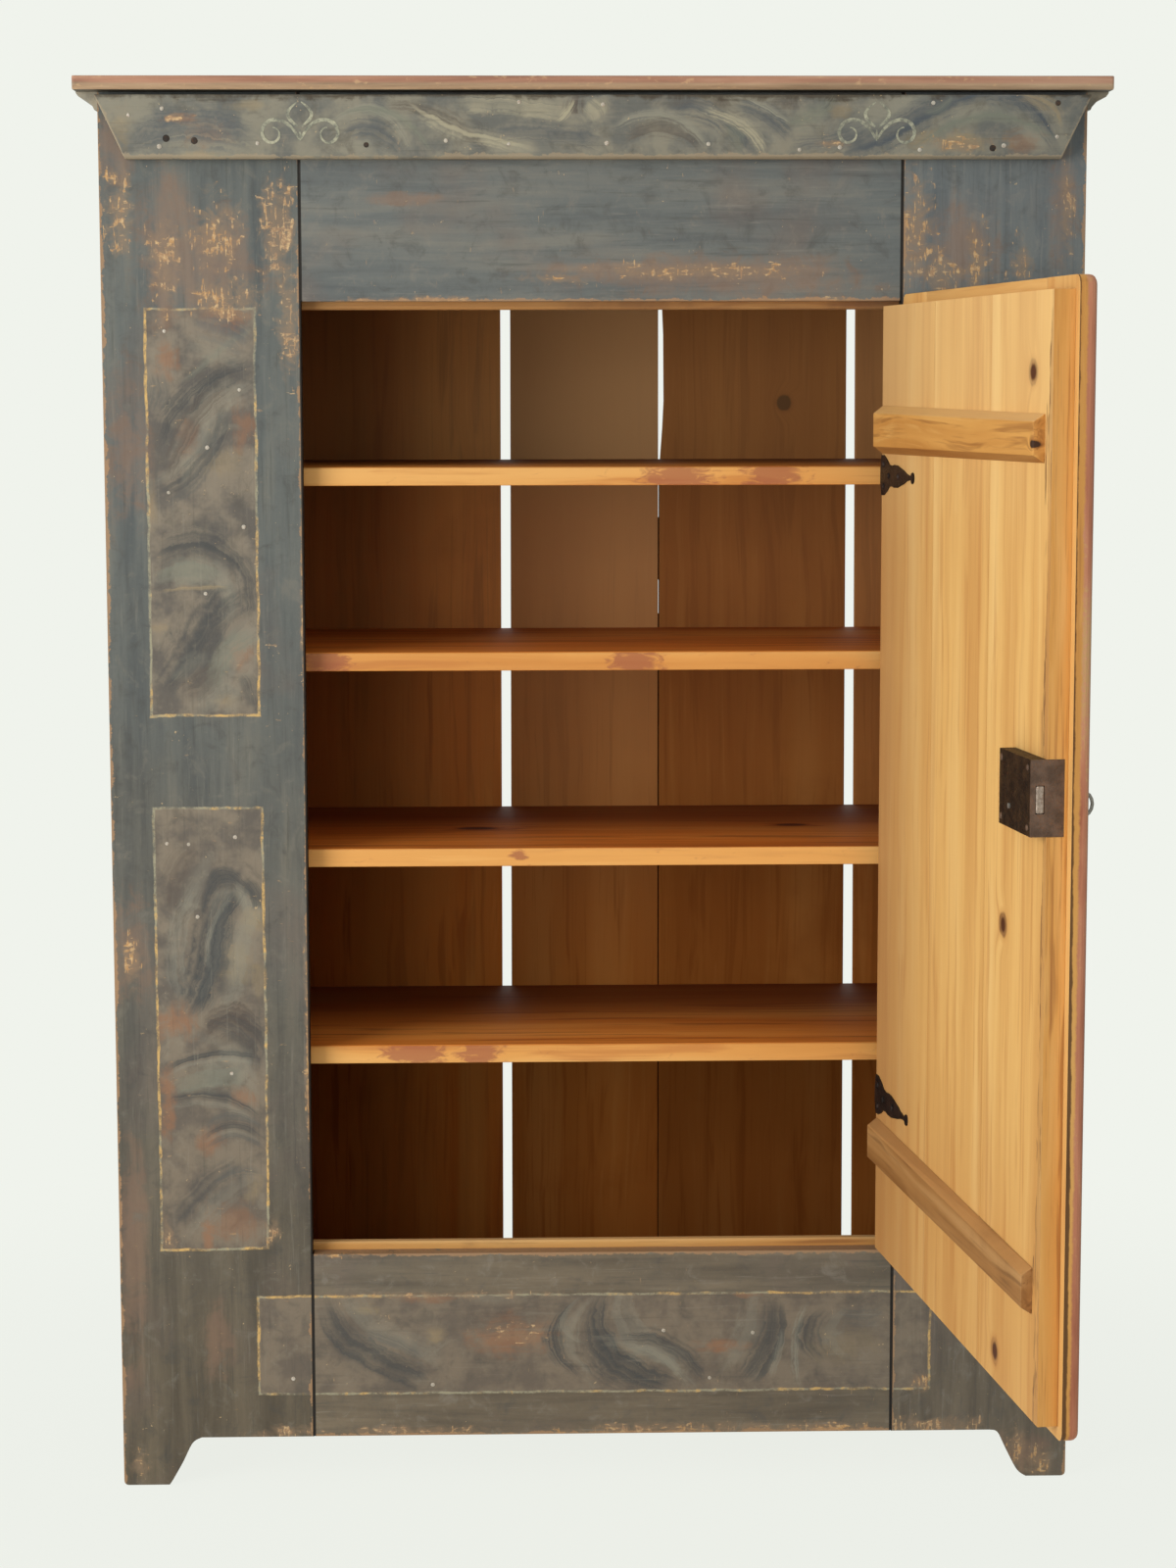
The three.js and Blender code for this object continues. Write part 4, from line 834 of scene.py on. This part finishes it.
SHELF_LOOKS = [
    {"spots": [(110, 1327, 70, 30), (230, 1329, 60, 30)], "light": (0.3, (214, 146, 74))},
    {"spots": [(55, 1087, 50, 30), (-350, 1090, 50, 30)], "light": (0.15, (206, 150, 92)), "back_shade": 0.3},
    {"spots": [(-100, 835, 20, 10)], "light": (0.4, (252, 196, 116)),
     "knots": [((-0.155, 0.22, 0.85), (0.03, 0.014, 0.1)), ((0.275, 0.24, 0.85), (0.022, 0.012, 0.1))]},
    {"spots": [(-240, 575, 60, 30), (-150, 575, 50, 30)], "light": (0.1, (230, 170, 96))},
]
for number, looks in enumerate(SHELF_LOOKS, 1):
    shelf = f"shelf_{number}"
    dress(shelf_wood(f"shelf_wood_{number}", 2.0 * number, **looks), shelf)
    dress(shelf_wood(f"cleat_wood_{number}", 2.0 * number + 1), shelf + "_cleat_left", shelf + "_cleat_right")
dress(shelf_wood("bottom_wood", 11.0), "bottom_board", "bottom_cleat_left", "bottom_cleat_right")
dress(lath_wood("stop_wood_top", 0.5), "door_stop_top")
dress(lath_wood("stop_wood_bottom", 0.22), "door_stop_bottom")

DOOR_KNOTS = [((-0.684, 0.01, 1.457), (0.02, 0.1, 0.016)), ((-0.596, 0.01, 0.844), (0.017, 0.1, 0.016)),
              ((-0.586, 0.01, 0.350), (0.018, 0.1, 0.018))]
dress(door_board_wood("door_wood_1", 1.0), "door_board_1")
dress(door_board_wood("door_wood_2", 3.0), "door_board_2")
dress(door_board_wood("door_wood_3", 5.0, DOOR_KNOTS), "door_board_3")
dress(door_front("door_paint_stile", ALONG_Z, 1.0), "door_stile_lock", "door_stile_hinge")
dress(door_front("door_paint_rail", ALONG_X, 4.0), "door_rail_top", "door_rail_middle", "door_rail_bottom")
dress(batten_wood("batten_wood_upper", 2.0, BATTEN_PINE, (226, 182, 118),
                  [((-0.729, 0.034, 1.381), (0.008, 0.009, 0.0045))]), "batten_upper")
dress(batten_wood("batten_wood_lower", 6.0, OLD_BATTEN, (202, 152, 94)), "batten_lower")

HINGE_IRON = iron("hinge_iron", (30, 24, 22), (52, 42, 38), (84, 54, 38), 0.48)
PLATE_IRON = iron("plate_iron", (86, 66, 52), (114, 90, 74), (128, 88, 60), 0.46, 0.45)
dress(HINGE_IRON, "hinge_upper_frame_leaf", "hinge_lower_frame_leaf", "hinge_upper_pin", "hinge_lower_pin",
      "hinge_upper_door_leaf", "hinge_lower_door_leaf")
dress(PLATE_IRON, "lock_plate")
dress(iron("lock_iron", (34, 22, 12), (60, 42, 25), (90, 62, 35)), "lock_case", "escutcheon")
dress(iron("key_iron", (120, 116, 108), (164, 160, 150), (118, 96, 78), 0.36, 0.45), "key")
dress(iron("bolt_iron", (112, 96, 82), (182, 166, 150), (116, 82, 60), 0.34, 0.4), "lock_bolt")


# Softened edges

WELD_REACH, TRIM_REACH = 1e-5, 2e-6
FLAT_ANGLE, SHARP_ANGLE = math.radians(1), math.radians(35)


def soften(name, width, segments=2, clamped=True):
    """Welds the shaded corners, joins flat triangles and rounds the sharp edges.

    Clamped, the rounding is no wider anywhere than its narrowest place has room for. Where there is no
    room for it, the trim takes its empty faces away.
    """
    modifiers = nodes[name].modifiers
    modifiers.new("weld", "WELD").merge_threshold = WELD_REACH
    flat = modifiers.new("flat", "DECIMATE")
    flat.decimate_type = "DISSOLVE"
    flat.angle_limit = FLAT_ANGLE
    bevel = modifiers.new("bevel", "BEVEL")
    bevel.width = width
    bevel.segments = segments
    bevel.limit_method = "ANGLE"
    bevel.angle_limit = SHARP_ANGLE
    bevel.use_clamp_overlap = clamped
    modifiers.new("trim", "WELD").merge_threshold = TRIM_REACH


BOARD_EDGE, SHELF_EDGE, MORTISED_EDGE, BOLT_EDGE = 0.0012, 0.0015, 0.0005, 0.0022
ROUNDED = ("front_stile_left", "top_", "bottom_rail", "bottom_board", "side_", "back_", "frieze_", "batten_",
           "door_stop_", "door_stile_", "door_rail_", "lock_case")
for name in nodes:
    if name.startswith(ROUNDED):
        soften(name, BOARD_EDGE)
    elif name in SHELVES:
        soften(name, SHELF_EDGE)
soften("front_stile_right", MORTISED_EDGE, clamped=False)
soften("lock_bolt", BOLT_EDGE, segments=3)


# Small hardware

def mesh_piece(name, shape, material, body):
    """Makes a piece of a finished shape and lets it ride a body."""
    bmesh.ops.recalc_face_normals(shape, faces=shape.faces)
    data = bpy.data.meshes.new(name)
    shape.to_mesh(data)
    shape.free()
    data.materials.append(material)
    piece = bpy.data.objects.new(name, data)
    bpy.context.scene.collection.objects.link(piece)
    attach(piece, body)


def walls(shape, rows):
    """Faces between rings of points that lie over each other."""
    for lower, upper in zip(rows, rows[1:]):
        for index in range(len(lower)):
            after = (index + 1) % len(lower)
            shape.faces.new((lower[index], lower[after], upper[after], upper[index]))


def closed_tube(shape, rows):
    """Walls with a face over each end."""
    walls(shape, rows)
    shape.faces.new(list(reversed(rows[0])))
    shape.faces.new(rows[-1])


NAIL_CORNERS = 12
NAIL_SUNK = 0.0006


def nail_head(shape, middle, out, radius, height, dice):
    """One hand-made domed nail head with uneven facets."""
    side = out.cross(Vector((0, 0, 1)) if abs(out.z) < 0.9 else Vector((1, 0, 0))).normalized()
    lift = out.cross(side).normalized()
    rows = []
    for share, rise in ((1.0, -NAIL_SUNK), (1.0, height * 0.35), (0.72, height * 0.82)):
        row = []
        for index in range(NAIL_CORNERS):
            angle = 2 * math.pi * index / NAIL_CORNERS
            reach = radius * share * (1 + 0.12 * (dice.random() - 0.5))
            spot = middle + side * (reach * math.cos(angle)) + lift * (reach * math.sin(angle)) + out * rise
            row.append(shape.verts.new(spot))
        rows.append(row)
    walls(shape, rows)
    tip = shape.verts.new(middle + out * height)
    for index in range(NAIL_CORNERS):
        shape.faces.new((rows[-1][index], rows[-1][(index + 1) % NAIL_CORNERS], tip))
    shape.faces.new(list(reversed(rows[0])))


def nails(name, places, out, material, body, radius, height, seed):
    """Nail heads or rivets in one piece, on faces that look out."""
    dice = random.Random(seed)
    shape = bmesh.new()
    for middle in places:
        nail_head(shape, Vector(middle), out, radius * (0.85 + 0.3 * dice.random()), height, dice)
    mesh_piece(name, shape, material, body)


def door_point(across, depth, up):
    """A place on the closed door, turned to where the open door has it."""
    turn = Matrix.Rotation(DOOR_TURN, 4, "Z")
    return HINGE + turn @ Vector((across, depth, 0)) + Vector((0, 0, up))


def frieze_y(z):
    """Front of the sloping frieze at a height."""
    return FRIEZE_LOW.y + (FRIEZE_HIGH.z - z) * FRIEZE_SLOPE


def on_frieze(listed):
    return [(x / 1000, frieze_y(z / 1000), z / 1000) for x, z in listed]


PALE_IRON = iron("nail_pale", (176, 168, 152), (206, 200, 186), (150, 112, 84), 0.55, 0.1)
DARK_IRON = iron("nail_dark", (40, 34, 30), (66, 56, 48), (104, 70, 46), 0.6, 0.3)
PALE_FRIEZE = [(-583, 1780), (-541, 1788), (-546, 1742), (-423, 1746), (-187, 1749), (-108, 1745), (15, 1746),
               (-95, 1796), (10, 1793), (143, 1745), (258, 1738), (309, 1741), (410, 1738), (425, 1795),
               (516, 1743), (583, 1754)]
DARK_FRIEZE = [(-537, 1752), (-502, 1749), (502, 1740), (582, 1795), (-287, 1744)]
PALE_FRONT = [(-546, 1513), (-452, 1439), (-494, 1366), (-499, 1180), (-544, 1309), (-449, 1265), (-554, 857),
              (-526, 856), (-466, 865), (-516, 761), (-475, 554), (89, 204), (207, 200), (150, 139),
              (-400, 143), (-216, 133)]
# places on the closed door, measured from its hinge line
LEAF_FACE, LOCK_FACE = 0.0222 + 0.0016, 0.040
LEAF_NAILS = ((-0.018, 0.014), (-0.018, -0.014), (-0.046, 0.0), (-0.095, 0.0))
RIVETS_ACROSS, RIVET_INSET = (-0.646, -0.748), 0.009

sloping_out = Vector((0, -1, -FRIEZE_SLOPE)).normalized()
nails("frieze_nails", on_frieze(PALE_FRIEZE), sloping_out, PALE_IRON, "carcass", 0.0026, 0.001, seed=1)
nails("frieze_nails_dark", on_frieze(DARK_FRIEZE), sloping_out, DARK_IRON, "carcass", 0.004, 0.0007, seed=2)
nails("front_nails", [(x / 1000, FRONT, z / 1000) for x, z in PALE_FRONT], Vector((0, -1, 0)), PALE_IRON,
      "carcass", 0.0024, 0.0006, seed=3)

inward = Matrix.Rotation(DOOR_TURN, 3, "Z") @ Vector((0, 1, 0))
places = []
for leaf in ("hinge_upper_door_leaf", "hinge_lower_door_leaf"):
    middle = sum(corner.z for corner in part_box(leaf)) / 2
    places += [door_point(across, LEAF_FACE, middle + rise) for across, rise in LEAF_NAILS]
nails("hinge_nails", places, inward, HINGE_IRON, "door", 0.0042, 0.0022, seed=4)
lock_foot, lock_head = (corner.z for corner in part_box("lock_case"))
rivets = [door_point(across, LOCK_FACE, up) for across in RIVETS_ACROSS
          for up in (lock_foot + RIVET_INSET, lock_head - RIVET_INSET)]
nails("lock_rivets", rivets, inward, PLATE_IRON, "door", 0.0036, 0.0018, seed=5)


# Dust in the seam of the back

DUST_RUNS = ((0.003, 1.120), (1.169, 1.257))
DUST_LEFT, DUST_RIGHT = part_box("back_board_2")[1].x - 0.0005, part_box("back_board_3")[0].x + 0.0014
DUST_FRONT, DUST_BACK, DUST_SLANT = -0.0115, -0.0045, 0.0012


def seam_dust():
    """Packed dust and torn fibres close the narrow seam of two back boards, but for two slits of daylight."""
    corners = ((DUST_LEFT, DUST_FRONT, 0.0), (DUST_RIGHT, DUST_FRONT, DUST_SLANT),
               (DUST_RIGHT, DUST_BACK, DUST_SLANT), (DUST_LEFT, DUST_BACK, 0.0))
    shape = bmesh.new()
    for low, high in DUST_RUNS:
        closed_tube(shape, [[shape.verts.new((x, y, z + slant * share)) for x, y, slant in corners]
                            for z, share in ((low, 0), (high, 1))])
    tree = Tree("seam_dust", 0.95, specular=0.1)
    grains = tree.noise(tree.place, 400.0, 4.0, 0.7)
    colour = tree.ramp(grains, (0.35, (34, 20, 12)), (0.5, (58, 36, 20)), (0.7, (92, 64, 40)))
    mesh_piece("seam_dust", shape, tree.finish(colour, grains, 0.0004), "carcass")


seam_dust()


# Painted flourishes on the frieze

PAINT_LIFT = 0.0004
FLOURISH_SIZE = 1.15
CURL_LENGTH, CURL_STEPS, LEAF_STEPS, STEM_STEPS = 0.098, 44, 14, 8


def curl(side):
    """Points of a curl that winds up tighter towards its end."""
    spots = [(side * 0.001, -0.019)]
    for index in range(CURL_STEPS):
        share = index / CURL_STEPS
        heading = math.radians(62 - 60 * share - 370 * share * share)
        x, z = spots[-1]
        spots.append((x + side * CURL_LENGTH / CURL_STEPS * math.cos(heading),
                      z + CURL_LENGTH / CURL_STEPS * math.sin(heading)))
    return spots


def ribbon(shape, points, widest, base, uneven):
    """A brushed line of thick paint on the sloping frieze, thin at both ends."""
    rows = []
    last = len(points) - 1
    points = [(FLOURISH_SIZE * x, FLOURISH_SIZE * z) for x, z in points]
    for index, (x, z) in enumerate(points):
        before, after = points[max(index - 1, 0)], points[min(index + 1, last)]
        along = Vector((after[0] - before[0], after[1] - before[1])).normalized()
        swell = 0.35 + 0.65 * math.sin(math.pi * min(1, index / last * 0.9 + 0.12))
        half = widest / 2 * swell * uneven.uniform(0.86, 1.1)
        row = []
        for way, lift in ((-1, -PAINT_LIFT), (1, -PAINT_LIFT), (1, PAINT_LIFT), (-1, PAINT_LIFT)):
            px = base[0] + x - along.y * half * way
            pz = base[1] + z + along.x * half * way
            row.append(shape.verts.new((px, frieze_y(pz) + lift, pz)))
        rows.append(row)
    closed_tube(shape, rows)


def flourish(name, base, seed):
    """Two curls, the two sides of a bud and its stem around a base, in faded cream paint."""
    uneven = random.Random(seed)
    shape = bmesh.new()
    for side in (-1, 1):
        ribbon(shape, curl(side), 0.0046, base, uneven)
        shares = [step / LEAF_STEPS for step in range(LEAF_STEPS + 1)]
        leaf = [(side * (0.002 + 0.011 * math.sin(math.pi * share)), -0.006 + 0.026 * share)
                for share in shares]
        ribbon(shape, leaf, 0.0042, base, uneven)
    stem = [(0.0, -0.021 + 0.012 * step / STEM_STEPS) for step in range(STEM_STEPS + 1)]
    ribbon(shape, stem, 0.003, base, uneven)
    tree = Tree(name + "_paint", 0.6, specular=0.3)
    worn = tree.noise(tree.place, 110.0, 5.0, 0.72)
    colour = tree.ramp(worn, (0.38, (118, 119, 107)), (0.5, (156, 156, 136)), (0.64, (188, 185, 158)))
    mesh_piece(name, shape, tree.finish(colour, worn, 0.0002), "carcass")


flourish("flourish_left", (-0.3695, 1.7730), 11)
flourish("flourish_right", (0.3550, 1.7730), 12)


# Camera, floor and light

CAMERA_PLACE = (-0.11495, -4.64223, 1.44260)
PITCH, YAW, ROLL = math.radians(6.9749), math.radians(-1.4483), math.radians(-0.1063)
camera = bpy.data.objects.new("camera", bpy.data.cameras.new("camera"))
bpy.context.scene.collection.objects.link(camera)
camera.matrix_world = (Matrix.Translation(CAMERA_PLACE) @ Matrix.Rotation(YAW, 4, "Z")
                       @ Matrix.Rotation(math.pi / 2 - PITCH, 4, "X") @ Matrix.Rotation(ROLL, 4, "Z"))
camera.data.sensor_width, camera.data.lens = 36, 74.62
bpy.context.scene.camera = camera

SKY = (0.42, 0.43, 0.44, 1)
FLOOR_COLOUR = (0.8, 0.81, 0.78, 1)
FLOOR_HALF, FLOOR_DROP = 6, 0.0005


def seen_directly(tree):
    """One for rays that show the background: straight, in a mirror or through glass."""
    return tree.most(*tree.named("LightPath", "Is Camera Ray", "Is Glossy Ray", "Is Transmission Ray"))


def floor():
    """Pale floor that keeps the object's shadow and fades into the page colour far away."""
    data = bpy.data.meshes.new("floor")
    corners = [(FLOOR_HALF * x, FLOOR_HALF * y, 0) for x, y in ((-1, -1), (1, -1), (1, 1), (-1, 1))]
    data.from_pydata(corners, [], [(0, 1, 2, 3)])
    piece = bpy.data.objects.new("floor", data)
    bpy.context.scene.collection.objects.link(piece)
    piece.location.z = -FLOOR_DROP
    tree = Tree("floor", 0.9, specular=0.0)
    tree.put(tree.shader.inputs["Base Color"], FLOOR_COLOUR)
    glow = tree.node("Emission", {"Color": PAGE, "Strength": 1.0})[0]
    near = tree.spot(tree.place, (0, -0.4, 0), (2.2, 1.8, 1))
    share = seen_directly(tree) * tree.step(near, 0.0, 0.7, 1.0, 0.93)
    mixed = tree.node("MixShader", {0: share, 1: Value(tree, tree.shader.outputs[0]), 2: glow})[0]
    tree.put(tree.tree.nodes["Material Output"].inputs[0], mixed)
    piece.data.materials.append(tree.material)


def world():
    """An even grey light that shows as the page colour."""
    made = bpy.data.worlds.new("world")
    bpy.context.scene.world = made
    made.use_nodes = True
    tree = Nodes(made.node_tree)
    shade = made.node_tree.nodes["Background"].inputs
    tree.put(shade["Strength"], 1.0)
    tree.put(shade["Color"], tree.mix(seen_directly(tree), SKY, PAGE))


def lamp(name, place, aim, size, power, colour=(1, 1, 1)):
    """A rectangular lamp that shines at a point."""
    data = bpy.data.lights.new(name, "AREA")
    data.shape = "RECTANGLE"
    data.size, data.size_y = size
    data.energy = power
    data.color = colour
    made = bpy.data.objects.new(name, data)
    bpy.context.scene.collection.objects.link(made)
    made.location = place
    made.rotation_mode = "QUATERNION"
    made.rotation_quaternion = (Vector(aim) - Vector(place)).to_track_quat("-Z", "Y")


floor()
world()
lamp("key", (-3.5, -3.3, 1.8), (0.0, -0.3, 1.0), (2.4, 2.9), 146, (1.0, 0.98, 0.95))
lamp("fill", (0.9, -4.9, 1.9), (0.0, -0.3, 0.9), (1.8, 1.8), 12)
bpy.context.scene.view_settings.view_transform = "Standard"
